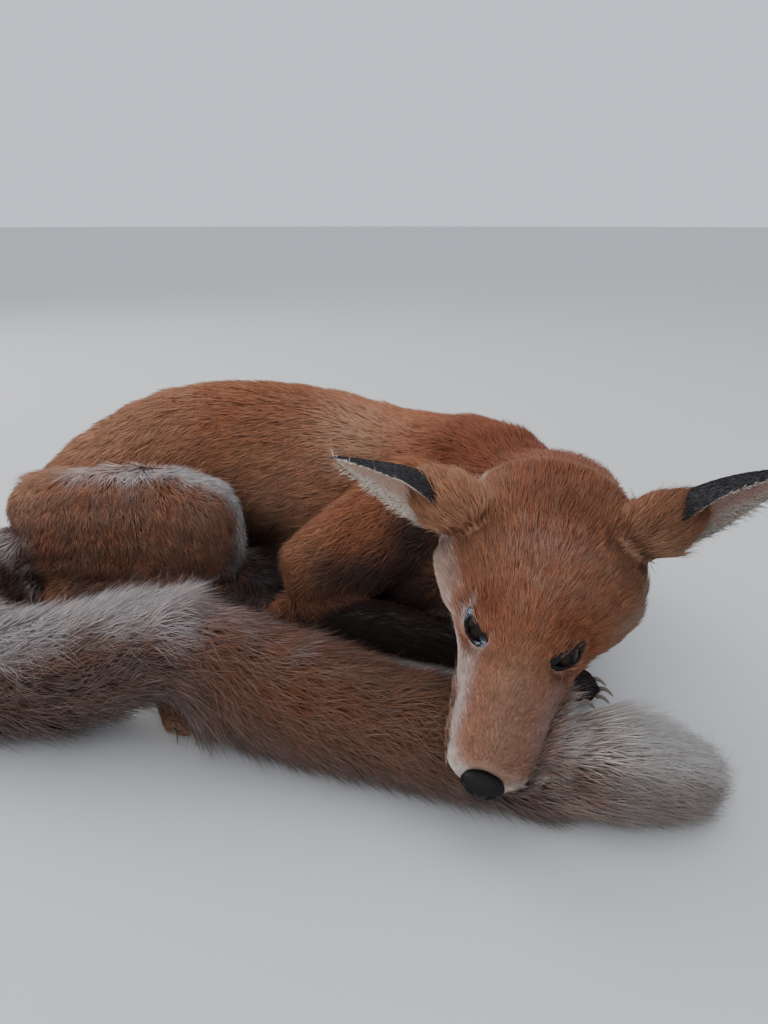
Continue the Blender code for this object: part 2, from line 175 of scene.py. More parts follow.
def setStage():
    camera = bpy.data.objects.new("camera", bpy.data.cameras.new("camera"))
    camera.data.lens = stage["lens"]
    camera.data.sensor_width = 36
    camera.data.clip_start = 0.01
    camera.location = (stage["cameraX"], stage["cameraY"], stage["cameraHeight"])
    camera.rotation_euler = (math.radians(90 - stage["tiltDown"]), 0, 0)
    bpy.context.scene.collection.objects.link(camera)
    bpy.context.scene.camera = camera
    # A wide disc at the height of the floor.
    turn = np.linspace(0, 2 * math.pi, 96, endpoint=False)
    rings = np.array([0.0, 0.3, 1.0, 3.0, 9.0, 27.0])
    points = np.stack([np.outer(rings, np.cos(turn)), np.outer(rings, np.sin(turn))], axis=2)
    points = np.concatenate([points, np.zeros((*points.shape[:2], 1))], axis=2).reshape(-1, 3)
    floor = meshObject("floor", points, gridFaces(len(rings), 96, True))
    material = bpy.data.materials.new("floor")
    material.use_nodes = True
    shader = material.node_tree.nodes["Principled BSDF"]
    shader.inputs["Base Color"].default_value = (0.62, 0.61, 0.60, 1)
    shader.inputs["Roughness"].default_value = 0.8
    floor.data.materials.append(material)
    world = bpy.data.worlds.new("studio")
    world.use_nodes = True
    world.node_tree.nodes["Background"].inputs["Color"].default_value = (0.78, 0.84, 0.94, 1)
    world.node_tree.nodes["Background"].inputs["Strength"].default_value = 1.0
    bpy.context.scene.world = world
    lights = {
        "key": ((-1.3, 1.1, 1.5), 1.3, 20, (1.0, 0.98, 0.95)),
        "fill": ((-0.6, -1.7, 1.3), 1.8, 15, (0.96, 0.97, 1.0)),
        "top": ((0.1, 0.1, 2.0), 1.6, 6, (1.0, 1.0, 1.0)),
    }
    for name, (place, size, power, colour) in lights.items():
        light = bpy.data.lights.new(name, "AREA")
        light.size = size
        light.energy = power
        light.color = colour
        obj = bpy.data.objects.new(name, light)
        aim = np.array([0.0, 0.0, 0.08]) - np.array(place)
        obj.location = place
        obj.rotation_euler = (
            math.atan2(math.hypot(aim[0], aim[1]), -aim[2]), 0, math.atan2(aim[1], aim[0]) - math.pi / 2
        )
        bpy.context.scene.collection.objects.link(obj)


setStage()
print("stage: camera, floor and light")

# The skin.

# For each CAD node: how deep the coat is over it, how long its tufts are, how wide, and how thick they stand.
# depth, length and width in metres, density in tufts for each square millimetre, spread in radians.
coat = {
    "rump": dict(depth=0.0085, length=0.026, width=0.00070, density=0.55, spread=0.15, clump=0.22),
    "loin": dict(depth=0.0080, length=0.025, width=0.00065, density=0.60, spread=0.13, clump=0.20),
    "chest": dict(depth=0.0080, length=0.026, width=0.00065, density=0.60, spread=0.15, clump=0.22),
    "neck": dict(depth=0.0085, length=0.026, width=0.00065, density=0.60, spread=0.16, clump=0.24),
    "head": dict(depth=0.0030, length=0.011, width=0.00042, density=1.60, spread=0.12, clump=0.20),
    "lower_jaw": dict(depth=0.0018, length=0.006, width=0.00040, density=1.50, spread=0.12, clump=0.12),
    "tail_root": dict(depth=0.0130, length=0.034, width=0.00056, density=0.60, spread=0.27, clump=0.34),
    "tail_bend": dict(depth=0.0165, length=0.038, width=0.00056, density=0.62, spread=0.27, clump=0.36),
    "tail_middle": dict(depth=0.0180, length=0.040, width=0.00056, density=0.66, spread=0.27, clump=0.36),
    "tail_front": dict(depth=0.0180, length=0.040, width=0.00056, density=0.68, spread=0.25, clump=0.34),
    "tail_tip": dict(depth=0.0150, length=0.044, width=0.00060, density=0.95, spread=0.14, clump=0.26),
    "thigh_right": dict(depth=0.0085, length=0.022, width=0.00065, density=0.72, spread=0.30, clump=0.38),
    "thigh_left": dict(depth=0.0060, length=0.018, width=0.00080, density=0.40, spread=0.20, clump=0.25),
    "shank_right": dict(depth=0.0050, length=0.014, width=0.00065, density=0.70, spread=0.18, clump=0.25),
    "shank_left": dict(depth=0.0045, length=0.013, width=0.00070, density=0.60, spread=0.18, clump=0.25),
    "hind_foot_right": dict(depth=0.0022, length=0.008, width=0.00055, density=1.10, spread=0.14, clump=0.15),
    "hind_foot_left": dict(depth=0.0022, length=0.008, width=0.00055, density=1.10, spread=0.14, clump=0.15),
    "upper_arm_right": dict(depth=0.0080, length=0.022, width=0.00065, density=0.85, spread=0.26, clump=0.34),
    "upper_arm_left": dict(depth=0.0070, length=0.022, width=0.00080, density=0.45, spread=0.20, clump=0.30),
    "forearm_right": dict(depth=0.0035, length=0.013, width=0.00060, density=0.95, spread=0.16, clump=0.20),
    "forearm_left": dict(depth=0.0035, length=0.013, width=0.00065, density=0.80, spread=0.16, clump=0.20),
    "fore_paw_right": dict(depth=0.0022, length=0.007, width=0.00050, density=1.20, spread=0.14, clump=0.15),
    "fore_paw_left": dict(depth=0.0022, length=0.007, width=0.00050, density=1.20, spread=0.14, clump=0.15),
}
nodeNames = list(coat)
tailNodes = ("tail_root", "tail_bend", "tail_middle", "tail_front", "tail_tip")
headNodes = ("head", "lower_jaw", "neck")
voxelSize = 0.0026
headVoxel = 0.0018
joinedVoxel = 0.0033
seamOverlap = 0.0006  # neighbouring solids are swollen by this, so that they join
blendWidth = 0.007  # how softly one node's values pass into the next one's

# The lines that the coat lies along, from where it starts to where it points.
lieLines = {
    "trunk": (
        ("head", "neck", "chest", "loin", "rump"),
        [(0.150, -0.165, 0.120), (0.169, -0.128, 0.128), (0.188, -0.053, 0.116), (0.183, 0.045, 0.078),
         (0.123, 0.131, 0.069), (0.013, 0.157, 0.082), (-0.105, 0.139, 0.084), (-0.171, 0.073, 0.070),
         (-0.205, 0.040, 0.066)],
    ),
    "tail": (
        tailNodes,
        [(-0.2145, 0.055, 0.064), (-0.2465, 0.015, 0.046), (-0.247, -0.045, 0.044), (-0.2105, -0.093, 0.045),
         (-0.162, -0.117, 0.045), (-0.113, -0.123, 0.055), (-0.058, -0.126, 0.073), (-0.017, -0.129, 0.052),
         (0.028, -0.140, 0.041), (0.078, -0.156, 0.036), (0.123, -0.173, 0.036), (0.168, -0.183, 0.033),
         (0.213, -0.187, 0.030), (0.245, -0.188, 0.025)],
    ),
    "thighRight": (("thigh_right",), [(-0.150, 0.045, 0.130), (-0.130, 0.045, 0.020)]),
    "thighLeft": (("thigh_left",), [(-0.162, 0.052, 0.020), (0.028, 0.067, 0.020)]),
    "shankRight": (("shank_right",), [(-0.067, 0.029, 0.046), (-0.195, 0.019, 0.026)]),
    "shankLeft": (("shank_left",), [(-0.035, 0.033, 0.018), (-0.109, -0.007, 0.015)]),
    "hindRight": (("hind_foot_right",),
                 [(-0.195, 0.018, 0.026), (-0.139, -0.051, 0.016), (-0.117, -0.078, 0.013)]),
    "hindLeft": (("hind_foot_left",),
                 [(-0.113, -0.008, 0.015), (-0.069, -0.088, 0.014), (-0.051, -0.118, 0.012)]),
    "armRight": (("upper_arm_right",),
                 [(0.133, 0.085, 0.100), (0.055, 0.033, 0.063), (-0.005, 0.001, 0.041)]),
    "armLeft": (("upper_arm_left",), [(0.183, 0.073, 0.080), (0.237, 0.117, 0.040)]),
    "forearmRight": (("forearm_right", "fore_paw_right"), [(-0.001, -0.003, 0.024), (0.103, -0.037, 0.022),
                     (0.163, -0.063, 0.019), (0.205, -0.083, 0.015)]),
    "forearmLeft": (("forearm_left", "fore_paw_left"), [(0.243, 0.115, 0.024), (0.224, 0.026, 0.017),
                    (0.210, -0.021, 0.014)]),
}


# Points and triangles of a CAD node, its equal corners made one.
def weldedNode(name):
    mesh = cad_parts[name].data
    mesh.calc_loop_triangles()
    points = read(mesh.vertices, "co", 3)
    corners = read(mesh.loop_triangles, "vertices", 3, np.int32)
    keys = np.round(points * 1e5).astype(np.int64)
    first, index = np.unique(keys, axis=0, return_index=True, return_inverse=True)[1:]
    corners = index.reshape(-1)[corners]
    a, b, c = corners.T
    return points[first], corners[(a != b) & (b != c) & (a != c)]


# Normals at the points: the sum of the crossed edges of the faces about each.
def pointNormals(points, tris):
    a, b, c = (points[tris[:, k]] for k in range(3))
    cross = np.cross(b - a, c - a)
    total = np.zeros_like(points)
    for k in range(3):
        for axis in range(3):
            total[:, axis] += np.bincount(tris[:, k], cross[:, axis], len(points))
    return unit(total)


# What is left of each direction when its part along the normal is taken away.
def alongSurface(ways, normals):
    return ways - normals * (ways * normals).sum(axis=1, keepdims=True)


def trianglesOf(quads):
    return np.concatenate([quads[:, [0, 1, 2]], quads[:, [0, 2, 3]]])


def edgesOf(faces):
    pairs = np.concatenate([faces[:, [k, (k + 1) % faces.shape[1]]] for k in range(faces.shape[1])])
    return np.unique(np.sort(pairs, axis=1), axis=0)


# Each value moved by `share` toward the mean of its neighbours along the edges, `rounds` times.
def smoothed(values, edges, rounds, share=0.5):
    flat = values.reshape(len(values), -1).astype(float)
    count = np.bincount(edges.ravel(), minlength=len(values))[:, None]
    for _ in range(rounds):
        total = np.zeros_like(flat)
        for axis in range(flat.shape[1]):
            total[:, axis] = np.bincount(edges[:, 0], flat[edges[:, 1], axis], len(flat))
            total[:, axis] += np.bincount(edges[:, 1], flat[edges[:, 0], axis], len(flat))
        flat += share * (total / np.maximum(count, 1) - flat)
    return flat.reshape(values.shape)


# One closed surface of even squares round everything that the triangles enclose.
def remeshed(points, tris, size):
    rough = meshObject("rough", points, tris)
    step = rough.modifiers.new("remesh", "REMESH")
    step.mode = "VOXEL"
    step.voxel_size = size
    step.adaptivity = 0
    graph = bpy.context.evaluated_depsgraph_get()
    mesh = bpy.data.meshes.new_from_object(rough.evaluated_get(graph))
    found = read(mesh.vertices, "co", 3)
    quads = read(mesh.loops, "vertex_index", 1, np.int32).reshape(-1, 4)
    bpy.data.objects.remove(rough)
    bpy.data.meshes.remove(mesh)
    return found, quads


def unionOf(names, size):
    allPoints, allTris, count = [], [], 0
    for name in names:
        points, tris = weldedNode(name)
        allPoints.append(points + seamOverlap * pointNormals(points, tris))
        allTris.append(tris + count)
        count += len(points)
    points, quads = remeshed(np.concatenate(allPoints), np.concatenate(allTris), size)
    edges = edgesOf(quads)
    points = smoothed(points, edges, 3, 0.5)
    return points, quads, edges


# How much each node counts at each point: exp of minus the squared distance to it over blendWidth,
# set against the nearest node's.
def nodeWeights(points, blended=False):
    samples, owner = [], []
    for i, name in enumerate(nodeNames):
        corners, tris = weldedNode(name)
        middles = corners[tris].mean(axis=1)
        samples += [corners, middles]
        owner += [np.full(len(corners) + len(middles), i)]
    samples = np.concatenate(samples).astype(np.float32)
    starts = np.searchsorted(np.concatenate(owner), np.arange(len(nodeNames)))
    squared = np.empty((len(points), len(nodeNames)), np.float32)
    own = (samples**2).sum(axis=1)
    for low in range(0, len(points), 4000):
        some = points[low : low + 4000].astype(np.float32)
        far = own[None, :] - 2 * some @ samples.T + (some**2).sum(axis=1)[:, None]
        squared[low : low + 4000] = np.minimum.reduceat(far, starts, axis=1)
    squared = np.maximum(squared, 0)
    weights = np.exp(-(squared - squared.min(axis=1, keepdims=True)) / blendWidth**2)
    weights /= weights.sum(axis=1, keepdims=True)
    if blended:
        return weights
    # The tail and the head each keep apart from what they lie on.
    for apart in (tailNodes, headNodes):
        own = np.isin(nodeNames, apart)
        inside = weights[:, own].sum(axis=1) > 0.5
        weights *= np.where(own[None, :], inside[:, None], ~inside[:, None])
        weights /= weights.sum(axis=1, keepdims=True)
    return weights


def nodeValues(weights, field):
    return weights @ np.array([coat[name][field] for name in nodeNames])


def lineSamples(points, steps=24):
    points = np.asarray(points, float)
    if len(points) == 2:
        points = np.array([points[0], points.mean(axis=0), points[1]])
    p = np.vstack([2 * points[0] - points[1], points, 2 * points[-1] - points[-2]])
    t = np.linspace(0, 1, steps, endpoint=False)[None, :, None]
    before, start, end, after = p[:-3, None], p[1:-2, None], p[2:-1, None], p[3:, None]
    curve = 0.5 * (2 * start + (end - before) * t + (2 * before - 5 * start + 4 * end - after) * t**2
                   + (3 * start - before - 3 * end + after) * t**3)
    curve = np.vstack([curve.reshape(-1, 3), points[-1:]])
    return curve, unit(np.gradient(curve, axis=0))


def nearestOnLine(points, curve):
    found = np.empty(len(points), int)
    for low in range(0, len(points), 8000):
        some = points[low : low + 8000]
        far = (curve**2).sum(axis=1)[None, :] - 2 * some @ curve.T
        found[low : low + 8000] = far.argmin(axis=1)
    return found


# Depth of the coat over the head: thin on the face, and thicker toward the nape and the throat.
def headDepth(points):
    h = toHead(points)
    return 0.0005 + 0.0027 * ramp(-h[:, 0], -0.03, 0.04) + 0.0050 * ramp(-h[:, 0], 0.075, 0.115)


def bellyFactor(points):
    return 0.3 + 0.7 * ramp(points[:, 2], 0.0, 0.022)


# The surface moved inward by `depth` in short steps, each followed by a little smoothing.
def sunk(points, quads, edges, depth, steps):
    tris = trianglesOf(quads)
    for _ in range(steps):
        points = points - pointNormals(points, tris) * (depth / steps)[:, None]
        points = smoothed(points, edges, 1, 0.25)
    return points


def bodyShell():
    names = [n for n in nodeNames if not n.startswith("tail") and n != "lower_jaw"]
    points, quads, edges = unionOf(names, voxelSize)
    weights = nodeWeights(points)
    depth = nodeValues(weights, "depth")
    inHead = weights[:, nodeNames.index("head")]
    depth = depth * (1 - inHead) + 0.010 * inHead
    depth = smoothed(depth * bellyFactor(points), edges, 6)
    return sunk(points, quads, edges, depth, 10), quads


def tailShell():
    points, quads, edges = unionOf(tailNodes, voxelSize)
    depth = smoothed(nodeValues(nodeWeights(points), "depth"), edges, 6)
    curve, _ = lineSamples(lieLines["tail"][1])
    middle = curve[nearestOnLine(points, curve)]
    away = points - middle
    reach = np.linalg.norm(away, axis=1)
    kept = 1 - np.minimum(depth / reach, 0.62)
    points = middle + away * kept[:, None]
    points[:, 2] -= 0.004
    points[:, 0] -= 0.018 * ramp(points[:, 0], 0.190, 0.275)
    return smoothed(points, edges, 2), quads


# A short tube from inside the rump to inside the tail, so that the two skins are one.
def dockShell():
    start, end = np.array([-0.165, 0.066, 0.068]), np.array([-0.232, 0.034, 0.056])
    along = unit(end - start)
    side = unit(np.cross(along, [0, 0, 1]))
    rise = np.cross(side, along)
    turn = np.linspace(0, 2 * math.pi, 24, endpoint=False)
    t = np.linspace(0, 1, 12)
    radius = 0.019 * np.sqrt(np.clip(1 - (2 * t - 1) ** 8, 0, 1))
    ring = np.cos(turn)[None, :, None] * side + np.sin(turn)[None, :, None] * rise
    points = start + t[:, None, None] * (end - start) + radius[:, None, None] * ring
    return points.reshape(-1, 3), gridFaces(12, 24, True)


# A flattened ball, for flesh between the parts: x, y and z are half * (sin cos, sin sin, cos).
def pillow(centre, half):
    tilt = np.linspace(0, math.pi, 17)[:, None]
    turn = np.linspace(0, 2 * math.pi, 32, endpoint=False)[None, :]
    upright = np.cos(tilt) + 0 * turn
    ball = np.stack([np.sin(tilt) * np.cos(turn), np.sin(tilt) * np.sin(turn), upright], axis=2)
    points = np.array(centre) + ball.reshape(-1, 3) * np.array(half)
    points[:, 2] = np.maximum(points[:, 2], 0.003)
    return points, gridFaces(17, 32, True)[:, ::-1]


pillows = {
    # The brisket and groin fills lie in shade under the body, and the markings give them painted shade.
    "brisket": ((0.112, 0.066, 0.028), (0.055, 0.055, 0.034)),
    "groin": ((-0.020, 0.040, 0.012), (0.042, 0.034, 0.014)),
    "tailFold": ((-0.222, 0.046, 0.020), (0.028, 0.026, 0.022)),
}


def headShell():
    points, quads, edges = unionOf(["head", "lower_jaw", "eye_left", "eye_right"], headVoxel)
    depth = smoothed(headDepth(points), edges, 4)
    return sunk(points, quads, edges, depth, 4), quads


def joinShells(shells):
    points, tris, count = [], [], 0
    for shellPoints, quads in shells:
        points.append(shellPoints)
        tris.append(trianglesOf(quads) + count)
        count += len(shellPoints)
    return np.concatenate(points), np.concatenate(tris)


# Each marked triangle split in four, and its neighbours to match: every marked edge gains its middle point.
def refined(points, tris, marked):
    pairs = np.sort(np.concatenate([tris[:, [0, 1]], tris[:, [1, 2]], tris[:, [2, 0]]]), axis=1)
    edges, index = np.unique(pairs, axis=0, return_inverse=True)
    index = index.reshape(3, -1).T
    split = np.zeros(len(edges), bool)
    split[index[marked]] = True
    number = len(points) + np.cumsum(split) - 1
    cut = split[index]
    made = [tris[~cut.any(axis=1)]]
    a, b, c = tris[cut.all(axis=1)].T
    ab, bc, ca = number[index[cut.all(axis=1)]].T
    made += [np.stack(rows, axis=1) for rows in ((a, ab, ca), (ab, b, bc), (ca, bc, c), (ab, bc, ca))]
    for k in range(3):
        following, last = (k + 1) % 3, (k + 2) % 3
        rows = cut[:, k] & ~cut[:, following] & ~cut[:, last]
        a, b, c = tris[rows][:, [k, following, last]].T
        middle = number[index[rows, k]]
        made += [np.stack([a, middle, c], axis=1), np.stack([middle, b, c], axis=1)]
        rows = ~cut[:, k] & cut[:, following] & cut[:, last]
        a, b, c = tris[rows][:, [k, following, last]].T
        bc, ca = number[index[rows, following]], number[index[rows, last]]
        made += [np.stack(trio, axis=1) for trio in ((a, b, bc), (a, bc, ca), (ca, bc, c))]
    return np.concatenate([points, points[edges[split]].mean(axis=1)]), np.concatenate(made)


# The nearest of `others` to each point, and how far off it is.
def nearestOf(points, others):
    index = np.empty(len(points), int)
    far = np.empty(len(points))
    others = np.asarray(others, np.float32)
    own = (others**2).sum(axis=1)
    for low in range(0, len(points), 4000):
        some = points[low : low + 4000].astype(np.float32)
        squared = own[None, :] - 2 * some @ others.T
        index[low : low + 4000] = squared.argmin(axis=1)
        least = squared[np.arange(len(some)), index[low : low + 4000]] + (some**2).sum(axis=1)
        far[low : low + 4000] = np.sqrt(np.maximum(least, 0))
    return index, far


eye = {
    "radius": 0.0092, "gaze": (0.62, 0.66, 0.42), "slant": (-0.773, 0.607, 0.188),
    "halfLength": 0.0090, "halfHeight": 0.0042, "lidThickness": 0.0009, "lidReach": 0.0060,
}


# Eye space: a along the slit from the inner corner to the outer one, b up across it, c out along the gaze.
def eyeAxes(side):
    flip = np.array([1, side, 1])
    gaze = unit(headAxes @ (np.array(eye["gaze"]) * flip))
    slant = headAxes @ (np.array(eye["slant"]) * flip)
    slant = unit(slant - gaze * np.dot(slant, gaze))
    return np.stack([slant, np.cross(gaze, slant) * side, gaze], axis=1)


def toEye(points, side):
    return (points - eyeMiddles[side]) @ eyeAxes(side)


# Half the height of the slit at a: an almond, fuller toward the inner corner.
def slitHalf(a):
    t = np.clip(a / eye["halfLength"], -1, 1)
    return eye["halfHeight"] * (1 - t**2) ** 0.8 * (1 - 0.15 * t)


# How far outside the slit a point lies, as a length.
def outsideSlit(a, b):
    scaled = np.hypot(a / eye["halfLength"], b / eye["halfHeight"])
    return (scaled - 1) * np.where(np.abs(a) > eye["halfLength"] * 0.8, 0.006, 0.005)


# Height of the lids over the plane through the eyeball's middle: a dome that sinks into the face.
def lidHeight(a, b):
    away = np.hypot(a * 0.92, b)
    dome = eye["radius"] + eye["lidThickness"]
    domeReach = 0.0078
    height = np.sqrt(np.maximum(dome**2 - np.minimum(away, domeReach) ** 2, 0))
    return height - 0.62 * np.maximum(away - domeReach, 0)


# The face's skin drawn to the lids round each eye, and sunk behind the eyeball inside the slit.
def eyeSockets(points):
    for side in (1, -1):
        local = toEye(points, side)
        away = np.hypot(local[:, 0], local[:, 1])
        near = (away < 0.024) & (local[:, 2] > -0.004)
        share = (1 - ramp(away, 0.009, 0.017)) * near
        target = lidHeight(local[:, 0], local[:, 1]) - 0.0006
        inside = outsideSlit(local[:, 0], local[:, 1]) < 0.0006
        target = np.where(inside, 0.0035, target)
        moved = local[:, 2] + (target - local[:, 2]) * share
        points = points + ((moved - local[:, 2])[:, None]) * eyeAxes(side)[:, 2]
    return points


# Whether points in head space lie round the face.
def inFaceBox(h):
    return (h[:, 0] > -0.09) & (np.abs(h[:, 1]) < 0.075) & (np.abs(h[:, 2]) < 0.065)


# The face is split finer and drawn back onto the head's own finer shell, then the skin round the eyes again.
def refinedFace(points, tris, shell):
    centres = points[tris].mean(axis=1)
    h = toHead(centres)
    boxed = np.flatnonzero(inFaceBox(h))
    boxed = boxed[nearestOf(centres[boxed], shell)[1] < 0.0035]
    marked = np.zeros(len(tris), bool)
    marked[boxed] = True
    points, tris = refined(points, tris, marked)
    h = toHead(points)
    near = np.flatnonzero(inFaceBox(h))
    index, far = nearestOf(points[near], shell)
    near, index = near[far < 0.004], index[far < 0.004]
    normals = pointNormals(points, tris)[near]
    gap = ((shell[index] - points[near]) * normals).sum(axis=1)
    share = ramp(h[near, 0], -0.088, -0.070)
    points[near] += normals * (gap * share)[:, None]
    smooth = smoothed(points, edgesOf(tris), 3)
    points[near] += (smooth[near] - points[near]) * share[:, None]
    centres = points[tris].mean(axis=1)
    away = [np.linalg.norm(centres - eyeMiddles[side], axis=1) for side in (1, -1)]
    return refined(points, tris, np.min(away, axis=0) < 0.018)


def makeSkinShape():
    body, tail, head = bodyShell(), tailShell(), headShell()
    fill = [pillow(*place) for place in pillows.values()]
    points, quads = remeshed(*joinShells([body, tail, dockShell(), head, *fill]), joinedVoxel)
    points = smoothed(points, edgesOf(quads), 3)
    points, tris = refinedFace(points, trianglesOf(quads), head[0])
    return eyeSockets(points), tris


skinPoints, skinTris = makeSkinShape()
print("skin: one surface of", len(skinTris), "triangles")


# The ears: cupped leaves, whose skin is one with the rest.

ears = {
    1: dict(base=(-0.069, 0.056, 0.021), tip=(-0.110, 0.112, 0.070), opening=(0.9, -0.1, -0.50)),
    -1: dict(base=(-0.050, -0.052, 0.014), tip=(-0.060, -0.124, 0.043), opening=(0.9, 0.1, -0.30)),
}
earShape = {
    "width": 0.064, "cup": 0.70, "bend": 0.004, "pinch": 0.9, "pinchReach": 0.5,
    "tuck": 0.5, "tuckReach": 0.30, "inset": 0.0011, "thickness": 0.0014, "rows": 40, "columns": 26,
}


# A cupped leaf: v runs from root to tip and u across, and the back is scooped by cup * (1 - u^2).
# The half toward the crown is gathered in at the root, by pinch * (1 - v / pinchReach), the other by tuck.
# The front is the back moved by the wall's thickness, which thins toward the rim.
def earShell(side):
    base, tip = fromHead(ears[side]["base"]), fromHead(ears[side]["tip"])
    reach = np.linalg.norm(tip - base)
    along = (tip - base) / reach
    face = headAxes @ np.array(ears[side]["opening"])
    face = unit(face - along * np.dot(face, along))
    across = np.cross(along, face)
    nearTip = 0.9 + 0.095 * np.linspace(0.15, 1, 8) ** 0.8
    v = np.concatenate([np.linspace(-0.12, 0.9, earShape["rows"] - 8), nearTip])
    u = np.sin(np.linspace(-math.pi / 2, math.pi / 2, earShape["columns"]))
    inEar = np.clip(v, 0, 1)
    width = earShape["width"] / 2 * np.clip(1 - inEar**1.55, 0.0, 1) ** 0.85
    middle = base + np.outer(v * reach, along) + np.outer(earShape["bend"] * inEar**2, face)
    scoop = (earShape["cup"] * width[:, None] * (1 - u[None, :] ** 2))[..., None] * face
    ripple = 0.0006 * np.sin(9 * v[:, None] + 2 * u[None, :]) * (1 - u[None, :] ** 2)
    drawn = np.clip(1 - v / earShape["pinchReach"], 0, 1)[:, None] * np.clip(-side * u, 0, 1)[None, :]
    tucked = np.clip(1 - v / earShape["tuckReach"], 0, 1)[:, None] * np.clip(side * u, 0, 1)[None, :]
    aside = width[:, None] * (1 - earShape["pinch"] * drawn - earShape["tuck"] * tucked) * u[None, :]
    back = middle[:, None] + aside[..., None] * across - scoop
    back = back + (earShape["inset"] + ripple)[..., None] * face
    thick = earShape["thickness"] * (0.35 + 0.65 * np.sqrt(np.clip(1 - u**2, 0, 1)))
    front = back + thick[None, :, None] * face
    grid = np.concatenate([back, front[:, ::-1]], axis=1)
    rows, columns = grid.shape[:2]
    ends = [grid[0].mean(axis=0), grid[-1].mean(axis=0) + along * 0.0004]
    points = np.concatenate([grid.reshape(-1, 3), ends])
    tris = trianglesOf(gridFaces(rows, columns, True))
    ring = np.arange(columns)
    after = (ring + 1) % columns
    bottom = np.stack([after, ring, np.full(columns, rows * columns)], axis=1)
    last = (rows - 1) * columns
    top = np.stack([last + ring, last + after, np.full(columns, rows * columns + 1)], axis=1)
    tris = np.concatenate([tris, bottom, top])
    a, b, c = (points[tris[:, k]] for k in range(3))
    if (a * np.cross(b, c)).sum() < 0:
        tris = tris[:, ::-1]
    placeV = np.concatenate([np.repeat(v, columns), [v[0], 1.0]])
    placeU = np.concatenate([np.tile(np.concatenate([u, u[::-1]]), rows), [0.0, 0.0]])
    isFront = np.concatenate([np.tile(np.repeat([0.0, 1.0], len(u)), rows), [0.0, 0.0]])
    return dict(
        points=points, tris=tris, v=placeV, u=placeU, front=isFront, side=side, along=along, across=across,
    )


# Markings and the lie of the coat.

tone = {
    "rust": (0.43, 0.160, 0.078), "rustDeep": (0.27, 0.082, 0.042), "golden": (0.58, 0.320, 0.190),
    "brown": (0.25, 0.125, 0.080), "grizzled": (0.62, 0.470, 0.380), "greyPale": (0.58, 0.53, 0.52),
    "greyDark": (0.11, 0.088, 0.085), "cream": (0.78, 0.69, 0.60), "white": (0.90, 0.87, 0.84),
    "sooty": (0.034, 0.019, 0.017), "black": (0.018, 0.016, 0.017), "mauve": (0.36, 0.25, 0.235),
    "pink": (0.62, 0.32, 0.29), "blueGrey": (0.40, 0.46, 0.55), "orange": (0.58, 0.260, 0.120),
    "tan": (0.50, 0.290, 0.190), "palePink": (0.60, 0.46, 0.41),
}
tone = {name: np.array(colour) for name, colour in tone.items()}


def shareOf(weights, *names):
    return weights[:, [nodeNames.index(name) for name in names]].sum(axis=1)


